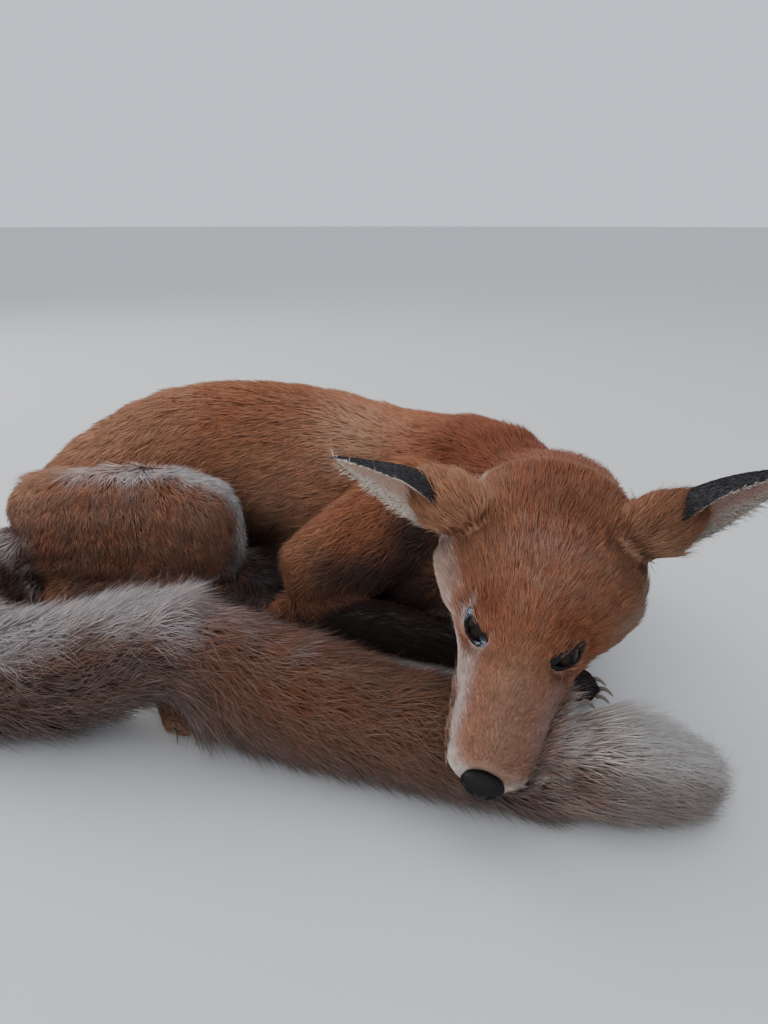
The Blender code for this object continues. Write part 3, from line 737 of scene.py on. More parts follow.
# At each point: the coat's colour along the hair and at its tips, and the share of tufts with pale tips.
# Each marking is a mix toward its tone by a share that falls off smoothly from its place.
def markings(points, normals, weights):
    h = toHead(points)
    mottle = waves(points, 0.035, 3)
    fine = waves(points, 0.012, 4)
    x, y, height = points.T
    upward = normals[:, 2]
    main = np.tile(tone["rust"], (len(points), 1))
    tip = np.tile(tone["golden"], (len(points), 1))
    pale = np.full(len(points), 0.40)

    # Mixes one tone in along the hair and another at its tips: the name, shade and strength of each.
    def lay(share, name, shade, strength, tipName=None, tipShade=1, tipStrength=1):
        main[:] = mix(main, tone[name] * shade, strength * share)
        if tipName:
            tip[:] = mix(tip, tone[tipName] * tipShade, tipStrength * share)

    # Trunk: golden over the rump and in a band above the shoulder, deep red on the withers, and darker low on
    # the trunk by the belly: brown belly fur with painted shade over it.
    rump = shareOf(weights, "rump", "loin") * ramp(-x, 0.03, 0.13)
    lay(np.clip(0.55 * rump + 0.12 * mottle, 0, 1), "golden", 1, 1)
    tip = mix(tip, tone["cream"], 0.25 * rump)
    band = bell(points, (0.058, 0.102, 0.132), (0.046, 0.045, 0.040))
    lay(np.clip(0.95 * band, 0, 1), "golden", 1.05, 1)
    tip = mix(tip, tone["cream"], 0.65 * band)
    withers = np.clip(1.3 * bell(points, (0.172, 0.060, 0.130), (0.055, 0.070, 0.050)), 0, 1)
    lay(withers, "rustDeep", 1, 0.95, "rust", 0.85, 0.95)
    pale = pale - 0.15 * withers
    # Brown belly fur and painted shade: the trunk is darker toward its bottom.
    belly = shareOf(weights, "loin", "chest", "rump") * ramp(0.120 - y, 0, 0.03)
    belly = belly * ramp(0.060 - height, 0, 0.03)
    lay(belly, "brown", 0.75, 0.8, "brown", 1.4, 0.7)

    ridge = bell(points, (-0.010, 0.165, 0.150), (0.070, 0.050, 0.040)) * (1 - band)
    lay(ridge, "rust", 0.68, 0.8, "golden", 0.8, 0.6)
    # Golden flank fur, brightened as painted light where the flank faces the camera.
    flank = bell(points, (-0.030, 0.100, 0.070), (0.060, 0.060, 0.050)) * (1 - belly)
    lay(flank, "golden", 1.2, 0.85, "cream", 1, 0.45)

    # Haunch: rusty brown with pale tips, and a whitish rim along its top and down its front edge, where it
    # turns away from the camera: pale tips with painted rim light.
    haunch = shareOf(weights, "thigh_right")
    streaked = mix(np.tile(tone["brown"] * 1.25, (len(x), 1)), tone["rust"], 0.5 + 0.3 * mottle)
    main = mix(main, streaked, haunch)
    tip = mix(tip, tone["grizzled"], 0.9 * haunch)
    pale = pale + 0.30 * haunch
    crestTan = haunch * ramp(-x, 0.165, 0.200) * ramp(height, 0.085, 0.110)
    lay(crestTan, "golden", 1, 0.7)
    # Painted rim light with pale hair tips: whiter where the haunch's surface turns away from the camera.
    turned = -0.30 * normals[:, 0] + 0.88 * normals[:, 1] - 0.37 * upward
    rim = haunch * ramp(turned + 0.12 * fine - 0.10 * upward, -0.80, -0.57)
    rim = rim * ramp(x + 0.004 * fine, -0.178, -0.158)
    rim = rim * ramp(height, 0.028, 0.045)
    lay(rim, "greyPale", 1.05, 0.9, "white", 1, 0.95)
    pale = pale + 0.3 * rim
    hip = haunch * ramp(-x + 0.003 * fine, 0.192, 0.209) * ramp(0.098 - height, 0, 0.03)
    lay(hip, "greyPale", 0.9, 0.7, "white", 0.9, 0.8)
    foot = haunch * ramp(x, -0.105, -0.070) * ramp(0.052 - height, 0, 0.02)
    lay(foot, "greyDark", 1, 0.65)
    # The shanks dark grey: dark leg fur deepened by painted shade, with orange at the heel.
    hock = shareOf(weights, "shank_right", "shank_left")
    lay(hock, "greyDark", 0.9, 0.9, "greyPale", 0.5, 0.6)
    lay(0.85 * hock * ramp(-x, 0.158, 0.180), "orange", 1, 1)
    # Painted shade: the far thigh under the body is darkened to near black.
    under = shareOf(weights, "thigh_left")
    lay(under, "greyDark", 0.55, 0.95, "greyPale", 0.45, 0.8)
    # Painted shade in the groin between the haunch and the elbow: near black.
    tuck = np.clip(1.8 * bell(points, (-0.024, 0.056, 0.040), (0.034, 0.050, 0.034)), 0, 1)
    tuck = tuck * (1 - haunch)
    lay(tuck, "sooty", 1, 0.95, "greyDark", 0.8, 0.9)

    # Forelegs: rust on the upper arm with a golden front, sooty below the elbow.
    arm = shareOf(weights, "upper_arm_right", "upper_arm_left")
    lay(arm, "rust", 0.95, 1)
    lay(0.35 * arm * ramp(0.06 - x, 0, 0.05), "golden", 0.9, 1)
    # Painted shade: the upper arm's lower, forward part is darkened to dark grey.
    shade = ramp(x, 0.005, 0.045) * ramp(0.090 - height, 0, 0.032)
    shade = arm * np.maximum(shade, ramp(x, 0.070, 0.098) * ramp(0.118 - height, 0, 0.030))
    lay(shade, "greyDark", 0.62, 0.92, "brown", 0.8, 0.7)
    # Painted shade under the chest: near black over the brisket fill.
    brisket = bell(points, (0.112, 0.060, 0.020), (0.050, 0.050, 0.030))
    brisket = brisket * (1 - shareOf(weights, *tailNodes, "head"))
    lay(np.clip(1.6 * brisket, 0, 0.9), "sooty", 1.3, 1, "brown", 0.8, 1)
    sooty = shareOf(weights, "forearm_right", "forearm_left", "fore_paw_right", "fore_paw_left")
    lay(sooty, "sooty", 1, 1, "sooty", 1.6, 1)
    pale = pale * (1 - 0.8 * sooty)
    torn = [(0.050, -0.004, 0.045), (0.070, 0.030, 0.024), (0.102, 0.016, 0.019), (0.117, 0.018, 0.012)]
    fringeLine = lineSamples(torn)[0]
    away = np.linalg.norm(points - fringeLine[nearestOnLine(points, fringeLine)], axis=1)
    fringe = 1 - shareOf(weights, "forearm_right", "head", *tailNodes)
    fringe = fringe * ramp(0.0035 + 0.002 * fine - away, 0, 0.002)
    lay(fringe, "greyPale", 1, 0.8, "white", 1, 0.9)
    hind = shareOf(weights, "hind_foot_right", "hind_foot_left")
    lay(hind, "brown", 0.9, 1, "golden", 0.8, 1)

    # Tail: whitish grey on top of the bend, rusty brown in the middle, grey-brown below with painted shade on
    # its underside, white at the tip.
    tail = shareOf(weights, *tailNodes)
    lay(tail, "brown", 0.84, 1)
    rusty = tail * bell(points[:, :1], (0.0,), (0.08,)) * ramp(upward, -0.4, 0.5)
    lay(rusty, "rust", 0.66, 0.75)
    tip = mix(tip, tone["grizzled"] * 0.78, tail)
    pale = mix(pale[:, None], np.array([0.40]), tail)[:, 0]
    crest = tail * ramp(-x + 0.010 * mottle, 0.020, 0.080) * ramp(upward + 0.25 * mottle, 0.35, 0.85)
    lay(crest, "greyPale", 1, 0.75, "white", 1, 0.85)
    fuzz = tail * ramp(-x, -0.06, 0.02) * ramp(upward, 0.60, 0.95)
    tip = mix(tip, tone["white"] * 0.9, 0.7 * fuzz)
    smoky = tail * bell(np.stack([x + 0.235, height - 0.030], axis=1), (0, 0), (0.060, 0.025))
    smoky = smoky * ramp(-y, 0.0, 0.03)
    lay(smoky, "greyDark", 0.75, 0.9, "blueGrey", 0.6, 0.5)
    streak = tail * bell(np.stack([x + 0.10, upward - 0.10], axis=1), (0, 0), (0.075, 0.22))
    lay(streak, "greyDark", 1, 0.75)
    # Painted shade on the tail's underside, where it faces down, with pale fuzz tips at its root end.
    below = tail * ramp(-upward, -0.1, 0.6)
    lay(below, "greyDark", 1.1, 0.75)
    tip = mix(tip, tone["greyPale"] * 0.85, 0.8 * below * ramp(-x, 0.02, 0.10))
    brush = tail * ramp(x + 0.006 * fine, 0.138, 0.176)
    lay(brush, "cream", 0.72, 1, "white", 1.05, 1)
    pale = pale + 0.4 * brush
    under = brush * ramp(0.200 - x, 0, 0.05)
    lay(under, "brown", 1.2, 0.45)
    # Painted shade: the brush is darker brown where it faces down and toward the camera.
    dusky = brush * ramp(-normals[:, 1] * 0.5 - upward, -0.55, 0.35)
    lay(dusky, "brown", 0.7, 0.85, "cream", 0.55, 0.7)

    # Head: rusty with pale-tipped streaks, deep red between the ears, golden at their roots.
    head = shareOf(weights, "head", "lower_jaw")
    lay(head, "rust", 0.84, 1, "golden", 1.0, 1)
    forehead = head * bell(h, (-0.030, 0.0, 0.034), (0.030, 0.034, 0.030))
    lay(forehead, "rustDeep", 1.1, 0.50, "cream", 1, 0.70)
    crown = head * bell(h, (-0.070, 0.0, 0.030), (0.026, 0.036, 0.034))
    tip = mix(tip, tone["tan"] * 0.85, 0.8 * crown)
    lay(crown, "rustDeep", 0.92, 0.88)
    nape = head * ramp(-h[:, 0], 0.088, 0.108) + shareOf(weights, "neck") * ramp(height, 0.12, 0.15)
    nape = np.clip(nape, 0, 1)
    lay(nape, "rustDeep", 1.15, 0.7, "tan", 0.8, 0.6)
    for side in (1, -1):
        root = head * bell(h, (-0.062, side * 0.052, 0.016), (0.024, 0.022, 0.026))
        lay(root, "golden", 0.72, 0.9, "golden", 0.92, 0.8)
        # Painted shadow under the brow above each eye, deeper on the fox's left side, away from the light.
        brow = head * bell(h, (-0.002, side * 0.021, 0.014), (0.015, 0.012, 0.012))
        main = mix(main, tone["rustDeep"] * (0.95 if side < 0 else 0.75), 0.75 * brow)
        tip = mix(tip, tone["rust"], 0.7 * brow)
        aside = head * bell(h, (0.040, side * 0.024, -0.008), (0.030, 0.010, 0.010))
        lay(aside, "mauve", 1, 0.80, "mauve", 1.1, 0.7)
    # Painted light: the side of the face that turns to the fox's right, toward the light, is made pale pink.
    rightSide = head * ramp(-normals @ headAxes[:, 1], 0.50, 0.86) * ramp(h[:, 2], -0.045, -0.030)
    rightSide = rightSide * ramp(0.018 - h[:, 2], 0, 0.012) * ramp(-h[:, 1], 0, 0.010)
    lay(rightSide, "palePink", 1.1, 0.88, "palePink", 1.35, 0.9)
    bridge = head * ramp(h[:, 0], 0.0, 0.03) * bell(h[:, 1:2], (0.003,), (0.016,))
    lay(bridge, "tan", 0.56, 0.75, "tan", 0.85, 0.6)
    cheek = head * ramp(np.abs(h[:, 1]), 0.034, 0.048) * ramp(-h[:, 0], -0.01, 0.03)
    cheek = cheek * ramp(0.010 - h[:, 2], 0, 0.012)
    lay(cheek, "tan", 1, 0.6, "cream", 1, 0.75)
    # Painted shade: the fox's left side of the head, away from the light, is darkened by up to three tenths.
    paintedShadeSide = 1 - 0.30 * head * ramp(h[:, 1] + 0.25 * h[:, 0], -0.005, 0.050)
    main, tip = main * paintedShadeSide[:, None], tip * paintedShadeSide[:, None]
    lipLine = -0.0215 - 0.010 * ramp(-h[:, 0], -0.05, 0.05)
    white = head * ramp(lipLine - h[:, 2] + 0.0015 * fine, -0.0030, 0.0045)
    lipFront = head * ramp(h[:, 0] + 0.004 * fine - 0.25 * h[:, 1], 0.061, 0.077)
    lipFront = lipFront * ramp(-h[:, 2], 0.003, 0.015)
    white = np.maximum(white, 0.95 * lipFront)
    lay(white, "cream", 1, 0.92, "white", 1, 1)
    pale = pale + 0.15 * head
    throat = shareOf(weights, "neck", "chest") * ramp(-upward - 0.2 * normals[:, 1], 0.0, 0.6)
    lay(throat, "cream", 0.8, 0.7, "white", 0.9, 0.6)
    return main, tip, np.clip(pale, 0, 1)


# The way the hair points: along each part's own line, down the haunch, and away from the nose over the head.
def lieOfCoat(points, normals, weights, edges):
    way = np.zeros_like(points)
    for nodes, line in lieLines.values():
        curve, tangents = lineSamples(line)
        share = shareOf(weights, *nodes)
        some = share > 0.01
        way[some] += share[some, None] * tangents[nearestOnLine(points[some], curve)]
    trunk = shareOf(weights, "rump", "loin", "chest", "neck")
    way[:, 2] -= 0.40 * trunk
    haunch = shareOf(weights, "thigh_right")
    way[:, 0] += haunch * np.clip((points[:, 0] + 0.130) / 0.07, -1, 1) * 0.75
    way[:, 1] -= haunch * 0.35
    h = toHead(points)
    head = shareOf(weights, "head", "lower_jaw")[:, None]
    away = (h - np.array([0.088, 0, -0.012])) * np.array([1, 1.5, 1.0])
    way = way * (1 - head) + head * (unit(away) @ headAxes.T)
    for side, ear in ears.items():
        root = head[:, 0] * bell(h, (-0.062, side * 0.056, 0.014), (0.024, 0.022, 0.026))
        outward = unit(fromHead(ear["tip"]) - fromHead(ear["base"]))
        way += (1.3 * root)[:, None] * outward
    # Over the end of the tail the hair runs on along the tail instead of down its rounded end.
    curve, tangents = lineSamples(lieLines["tail"][1])
    ahead = tangents[nearestOnLine(points, curve)]
    capped = shareOf(weights, "tail_tip") * np.maximum((ahead * normals).sum(axis=1), 0)
    capped += haunch * 0.7 * np.maximum(-normals[:, 2], 0)
    for _ in range(3):
        way = unit(alongSurface(way, normals))
        way = smoothed(way, edges, 4)
    way = unit(alongSurface(way, normals))
    return unit(way + normals * capped[:, None])


# How fast the surface turns away along the lie: minus the change of the normal along it, per metre.
def bendAlong(points, normals, way, edges):
    total = np.zeros(len(points))
    steps = np.zeros(len(points))
    for one, other in ((0, 1), (1, 0)):
        i, j = edges[:, one], edges[:, other]
        step = points[j] - points[i]
        run = (step * way[i]).sum(axis=1)
        turn = ((normals[j] - normals[i]) * way[i]).sum(axis=1) * np.sign(run)
        total += np.bincount(i, turn, len(points))
        steps += np.bincount(i, np.abs(run), len(points))
    return smoothed(np.clip(total / np.maximum(steps, 1e-6), -20, 45), edges, 5)


# Where no tuft grows: in the slits of the eyes, on their rims, and under the nose pad.
def bareness(points):
    bare = ramp(0.0105 - np.linalg.norm(points - noseMiddle, axis=1), -0.0015, 0.0005)
    for side in (1, -1):
        local = toEye(points, side)
        outside = outsideSlit(local[:, 0], local[:, 1])
        bare = np.maximum(bare, ramp(0.0018 - outside, 0, 0.0010) * (local[:, 2] > 0))
    return bare


def bodyFields(points, tris):
    edges = edgesOf(tris)
    normals = pointNormals(points, tris)
    weights = nodeWeights(points)
    way = lieOfCoat(points, normals, weights, edges)
    main, tip, pale = markings(points, normals, weights)
    h = toHead(points)
    head = shareOf(weights, "head")
    length = nodeValues(weights, "length")
    depth = nodeValues(weights, "depth")
    # On the head the hair is shortest on the muzzle, and longest at the nape and behind the cheeks.
    behind = ramp(-h[:, 0], -0.035, 0.010)
    faceLength = 0.0046 + 0.0090 * behind + 0.0040 * ramp(-h[:, 0], 0.02, 0.06)
    faceLength = faceLength + 0.006 * ramp(-h[:, 0], 0.08, 0.11)
    length = length * (1 - head) + faceLength * head
    mixed = nodeWeights(points, blended=True)
    meeting = 2 * np.minimum(shareOf(mixed, *tailNodes), shareOf(mixed, *headNodes))
    beside = meeting * shareOf(weights, *tailNodes)
    length = length * (1 - 0.40 * meeting - 0.30 * beside)
    depth = depth * (1 - 0.55 * meeting - 0.25 * beside)
    for side in (1, -1):
        root = head * bell(h, (-0.062, side * 0.056, 0.014), (0.020, 0.020, 0.024))
        length = length + 0.005 * root
        depth = depth + 0.0018 * root
    width = nodeValues(weights, "width") * (1 - 0.25 * head * (1 - behind))
    depth = depth * (1 - head) + (0.0006 + headDepth(points)) * head
    density = nodeValues(weights, "density")
    resting = ramp(0.006 - points[:, 2], 0, 0.003) * ramp(-normals[:, 2], 0.5, 0.9)
    density = density * (1 - 0.9 * resting) * (1 - bareness(points))
    return dict(
        points=points, normals=normals, way=way, bend=bendAlong(points, normals, way, edges),
        length=length, rise=depth * bellyFactor(points), width=width, density=density,
        spread=nodeValues(weights, "spread"), clump=nodeValues(weights, "clump"),
        main=main, tip=tip, pale=pale, owner=weights.argmax(axis=1),
    )


# Behind, the ear is black with a golden root; inside it is cream, with long pale hair from its rims and root.
def earFields(shell):
    points, tris, v, u = shell["points"], shell["tris"], shell["v"], shell["u"]
    normals = pointNormals(points, tris)
    front, rim = shell["front"], ramp(np.abs(u), 0.70, 0.95)
    way = shell["along"] + np.outer(u * (0.35 + 0.3 * front), shell["across"])
    way = unit(alongSurface(way, normals))
    low = ramp(0.35 - v, 0, 0.35)
    noise = waves(points, 0.012, 11)
    crownward = ramp(-shell["side"] * u, -0.1, 0.4)
    golden = ramp(0.34 - 0.18 * ramp(-shell["side"] * u, 0.3, 1.0) - v + 0.05 * noise, 0, 0.14)
    backColour = mix(np.tile(tone["black"] * 1.1, (len(v), 1)), tone["golden"] * 0.74, golden)
    # Painted shade: the left ear's inside is brown with a dimmed cream, on the side away from the light.
    inner = tone["brown"] if shell["side"] > 0 else tone["tan"]
    cream = tone["cream"] * (0.6 if shell["side"] > 0 else 1.0)
    frontColour = mix(np.tile(cream, (len(v), 1)), inner, np.clip(0.5 * low + 0.75 * (1 - rim), 0, 1))
    frontColour = mix(frontColour, tone["golden"] * 0.62, crownward * ramp(0.42 - v, 0, 0.15))
    main = backColour * (1 - front[:, None]) + frontColour * front[:, None]
    tipBack = mix(backColour, tone["greyDark"] * 2.0, 0.6 * (1 - golden))
    tipFront = mix(frontColour, cream, 0.7 * (1 - crownward * ramp(0.42 - v, 0, 0.15)))
    tip = tipBack * (1 - front[:, None]) + tipFront * front[:, None]
    lengthBack = 0.0040 + 0.006 * low
    lengthFront = 0.0036 + (0.0030 * rim + 0.008 * low) * (1 - crownward)
    riseBack = 0.0007 + 0.0020 * low
    riseFront = 0.0008 + (0.0009 * rim + 0.0024 * low) * (1 - crownward)
    ones = np.ones(len(v))
    return dict(
        points=points, normals=normals, way=way, bend=0 * ones,
        length=lengthBack * (1 - front) + lengthFront * front,
        rise=riseBack * (1 - front) + riseFront * front, width=0.00042 * ones,
        density=(2.0 * (1 - front) + (0.7 + 1.6 * rim + 0.8 * low) * front) * (v > -0.15),
        spread=0.14 + 0.12 * front, clump=0.15 + 0.15 * front, main=main, tip=tip, pale=0.3 + 0.4 * front,
        owner=np.full(len(v), len(nodeNames)),
    )


def wholeSkin():
    fields = [bodyFields(skinPoints, skinTris)]
    tris, count = [skinTris], len(skinPoints)
    for side in (1, -1):
        shell = earShell(side)
        fields.append(earFields(shell))
        tris.append(shell["tris"] + count)
        count += len(shell["points"])
    return {key: np.concatenate([field[key] for field in fields]) for key in fields[0]}, np.concatenate(tris)


skin, skinFaces = wholeSkin()
print("skin: markings and lie worked out at", len(skin["points"]), "points,", len(skinFaces), "triangles")


# Materials.

# The inputs of a node set by name or number, each to a value or linked to the output that feeds it.
def feed(tree, node, given):
    for key, value in given.items():
        if isinstance(value, bpy.types.NodeSocket):
            tree.links.new(value, node.inputs[key])
        else:
            node.inputs[key].default_value = value


def addNode(tree, kind, given, **settings):
    node = tree.nodes.new("ShaderNode" + kind)
    for key, value in settings.items():
        setattr(node, key, value)
    feed(tree, node, given)
    return node.outputs


def mathNode(tree, operation, first, second):
    return addNode(tree, "Math", {0: first, 1: second}, operation=operation)[0]


# The mix of two colours by a share.
def mixNode(tree, share, first, second):
    return addNode(tree, "Mix", {"Factor": share, 6: first, 7: second}, data_type="RGBA")[2]


def attributeNode(tree, name, output="Fac"):
    return addNode(tree, "Attribute", {}, attribute_name=name)[output]


# Noise in the object's own space, with `scale` cells to a metre.
def noiseNode(tree, scale, detail=2):
    place = addNode(tree, "TexCoord", {})["Object"]
    return addNode(tree, "TexNoise", {"Vector": place, "Scale": scale, "Detail": detail})["Fac"]


def bumpNode(tree, height, strength, distance):
    return addNode(tree, "Bump", {"Height": height, "Strength": strength, "Distance": distance})["Normal"]


# A material whose surface takes what `look` makes in its node tree.
def newMaterial(name, look):
    material = bpy.data.materials.new(name)
    material.use_nodes = True
    tree = material.node_tree
    feed(tree, tree.nodes["Principled BSDF"], look(tree))
    return material


# Hair colour: dark at the root, the coat's colour along it, its tip colour at the end, and a mottle over all.
def hairColourGroup():
    group = bpy.data.node_groups.new("hair colour", "ShaderNodeTree")
    for label, kind, value in (
        ("Main", "NodeSocketColor", (0.5, 0.2, 0.1, 1)), ("Tip", "NodeSocketColor", (0.7, 0.4, 0.2, 1)),
        ("Along", "NodeSocketFloat", 1.0), ("Tip Share", "NodeSocketFloat", 0.5),
    ):
        socket = group.interface.new_socket(name=label, in_out="INPUT", socket_type=kind)
        socket.default_value = value
    group.interface.new_socket(name="Colour", in_out="OUTPUT", socket_type="NodeSocketColor")
    given = group.nodes.new("NodeGroupInput").outputs
    result = group.nodes.new("NodeGroupOutput")
    rootward = addNode(group, "MapRange", {"Value": given["Along"], "From Max": 0.55, "To Min": 0.64})
    tipward = addNode(group, "MapRange", {"Value": given["Along"], "From Min": 0.45})
    mottle = addNode(group, "MapRange", {
        "Value": noiseNode(group, 160), "From Min": 0.3, "From Max": 0.7, "To Min": 0.90, "To Max": 1.09,
    })
    tipShare = mathNode(group, "MULTIPLY", tipward["Result"], given["Tip Share"])
    shade = mathNode(group, "MULTIPLY", rootward["Result"], mottle["Result"])
    blend = mixNode(group, tipShare, given["Main"], given["Tip"])
    scaled = addNode(group, "VectorMath", {0: blend, "Scale": shade}, operation="SCALE")
    feed(group, result, {"Colour": scaled[0]})
    return group


hairColour = hairColourGroup()


# The hair colour from the two colours that the points carry.
def hairColourOf(tree, along, tipShare):
    return addNode(tree, "Group", {
        "Main": attributeNode(tree, "hairMain", "Color"), "Tip": attributeNode(tree, "hairTip", "Color"),
        "Along": along, "Tip Share": tipShare,
    }, node_tree=hairColour)["Colour"]


def hairMaterial(name, roughness, specular):
    return newMaterial(name, lambda tree: {
        "Base Color": hairColourOf(tree, attributeNode(tree, "along"), attributeNode(tree, "tipShare")),
        "Roughness": roughness, "Specular IOR Level": specular,
    })


# Skin under the coat: its markings a little darker, with fine streaks of bump that stand for the short hair.
def skinLook(tree):
    return {
        "Base Color": hairColourOf(tree, 0.3, 0.0), "Roughness": 0.75,
        "Normal": bumpNode(tree, noiseNode(tree, 900, 3), 0.5, 0.0006),
    }


def makeSkin():
    obj = meshObject("skin", skin["points"], skinFaces)
    putColours(obj, "hairMain", skin["main"])
    putColours(obj, "hairTip", skin["tip"])
    bpy.context.view_layer.objects.active = obj
    obj.select_set(True)
    bpy.ops.object.mode_set(mode="EDIT")
    bpy.ops.mesh.select_all(action="SELECT")
    bpy.ops.uv.smart_project(angle_limit=1.15, island_margin=0.004, scale_to_bounds=True)
    bpy.ops.object.mode_set(mode="OBJECT")
    obj.select_set(False)
    obj.data.uv_layers[0].name = "OFBake"
    flat = read(obj.data.uv_layers["OFBake"].data, "uv", 2).reshape(-1, 3, 2)
    finishPiece(obj, "coat_rust", newMaterial("skin", skinLook), *nodeNames, "ear_left", "ear_right")
    return flat


skinFlat = makeSkin()
print("skin: made and unwrapped")

# The coat.

longFur = hairMaterial("long fur", 0.60, 0.14)
shortFur = hairMaterial("short fur", 0.65, 0.12)
patchSize = 0.003  # of each tuft in the bake map


# The way from each point to the seeded middle of its lock, which draws tufts together, and a number for
# the lock, from 0 to 1.
def lockOf(points, size, seed):
    cell = np.floor(points / size + seed * 0.37)
    mixers = ((127.1, 311.7, 74.7), (269.5, 183.3, 246.1), (113.5, 271.9, 124.6))
    keys = np.stack([cell @ np.array(row) for row in mixers], axis=1)
    jitter = np.sin(keys) * 43758.5453 % 1 - 0.5
    middle = (cell + 0.5 + 0.7 * jitter - seed * 0.37) * size
    return middle - points, jitter.sum(axis=1) * 7.31 % 1


# One closed spindle for each tuft: a root point, a three-cornered ring at t = `widest` and a tip point.
# The tuft runs along the lie and rises to its height quickly, then lies over: up(t) is
# rise * (1 - (1 - t)^1.7), less the fall of the skin under it, bend * run^2 / 2.
# It leans sideways with t^2 and toward its lock's middle.
def growTufts(name, slot, material, chosen, count, seed, lockSize, contrast=0.28, widest=0.42):
    seeded = np.random.default_rng(seed)
    faces = skinFaces[chosen]
    a, b, c = (skin["points"][faces[:, k]] for k in range(3))
    area = np.linalg.norm(np.cross(b - a, c - a), axis=1) / 2
    share = np.cumsum(area * skin["density"][faces].mean(axis=1))
    spots = (np.arange(count) + seeded.uniform(0, 1, count)) / count * share[-1]
    picked = np.minimum(np.searchsorted(share, spots), len(faces) - 1)
    mixed = seeded.dirichlet((1, 1, 1), count)
    corners = faces[picked]

    def at(key):
        values = skin[key][corners]
        return (values * mixed.reshape(count, 3, *([1] * (values.ndim - 2)))).sum(axis=1)

    root, normal, way = at("points"), unit(at("normals")), unit(at("way"))
    length = at("length") * seeded.uniform(0.65, 1.15, count)
    rise = np.minimum(at("rise") * seeded.uniform(0.70, 1.08, count), 0.8 * length)
    side = np.cross(normal, way)
    lean = at("spread") * (seeded.normal(size=count) + 1.2 * waves(root, 0.022, seed))
    run = np.sqrt(length**2 - rise**2)
    pull, lock = lockOf(root + way * (run * 0.7)[:, None], lockSize, seed)
    pull = alongSurface(pull, normal)
    clump, bend = at("clump"), at("bend")
    width = at("width") * seeded.uniform(0.7, 1.2, count)

    def place(t):
        path = way * (run * t * np.cos(lean * t))[:, None] + side * (run * t * np.sin(lean * t))[:, None]
        up = rise * (1 - (1 - t) ** 1.7) - 0.5 * bend * (run * t) ** 2
        return root + path + normal * (up - 0.0004)[:, None] + pull * (clump * t**2)[:, None]

    rows = [place(0.0)]
    roll = seeded.uniform(0, 2 * math.pi, count)
    middle = place(widest)
    for k in range(3):
        angle = roll + k * 2 * math.pi / 3
        out = side * np.cos(angle)[:, None] + normal * np.sin(angle)[:, None]
        rows.append(middle + out * (width / 2)[:, None])
    rows.append(place(1.0))
    points = np.stack(rows, axis=1)
    lowest = 0.0004 + 0.0008 * seeded.uniform(0, 1, count)  # so that no tuft sinks into the floor
    points[..., 2] = np.maximum(points[..., 2], lowest[:, None])
    each = points.shape[1]
    shape = np.array([(0, 2, 1), (0, 3, 2), (0, 1, 3), (1, 2, 4), (2, 3, 4), (3, 1, 4)])
    tris = (shape[None] + (np.arange(count) * each)[:, None, None]).reshape(-1, 3)
    obj = meshObject(name, points.reshape(-1, 3), tris)

    along = np.array([0.0, widest, widest, widest, 1.0])
    shade = seeded.uniform(0.88, 1.10, count) * (1 + 0.08 * waves(root, 0.010, seed + 1))
    shade = shade * (1 + contrast * (lock - 0.5))
    warm = seeded.normal(0, 0.05, count)
    main = at("main") * shade[:, None] * (1 + warm[:, None] * np.array([1.0, -0.3, -1.0]))
    tip = at("tip") * seeded.uniform(0.85, 1.12, count)[:, None]
    pale = 0.6 * seeded.uniform(0, 1, count) + 0.4 * lock < at("pale")
    tipShare = np.where(pale, seeded.uniform(0.55, 1.0, count), seeded.uniform(0.0, 0.35, count))
    putColours(obj, "hairMain", np.repeat(np.clip(main, 0, 1), each, axis=0))
    putColours(obj, "hairTip", np.repeat(np.clip(tip, 0, 1), each, axis=0))
    putNumbers(obj, "along", np.tile(along, count))
    putNumbers(obj, "tipShare", np.repeat(tipShare, each))

    # Its patch of the bake map, at its root's place on the skin's unwrap.
    flat = (skinFlat[chosen][picked] * mixed[..., None]).sum(axis=1)
    across = np.array([0.0, -0.5, 0.5, 0.0, 0.0]) * patchSize
    patch = flat[:, None, :] + np.stack([across, (along - 0.5) * patchSize], axis=1)[None]
    layer = obj.data.uv_layers.new(name="OFBake")
    layer.data.foreach_set("uv", np.clip(patch.reshape(-1, 2)[tris.ravel()], 0, 1).astype(np.float32).ravel())
    finishPiece(obj, slot, material)
    print(name, len(tris), "triangles")
    return obj


def ownedBy(*names):
    owners = [nodeNames.index(name) for name in names]
    return np.isin(skin["owner"][skinFaces[:, 0]], owners)


facePlace = toHead(skin["points"][skinFaces[:, 0]])[:, 0]
onHead = ownedBy("head", "lower_jaw")
isEar = skin["owner"][skinFaces[:, 0]] == len(nodeNames)
brushStart = 0.130
isBrush = ownedBy("tail_front", "tail_tip") & (skin["points"][skinFaces[:, 0], 0] > brushStart)

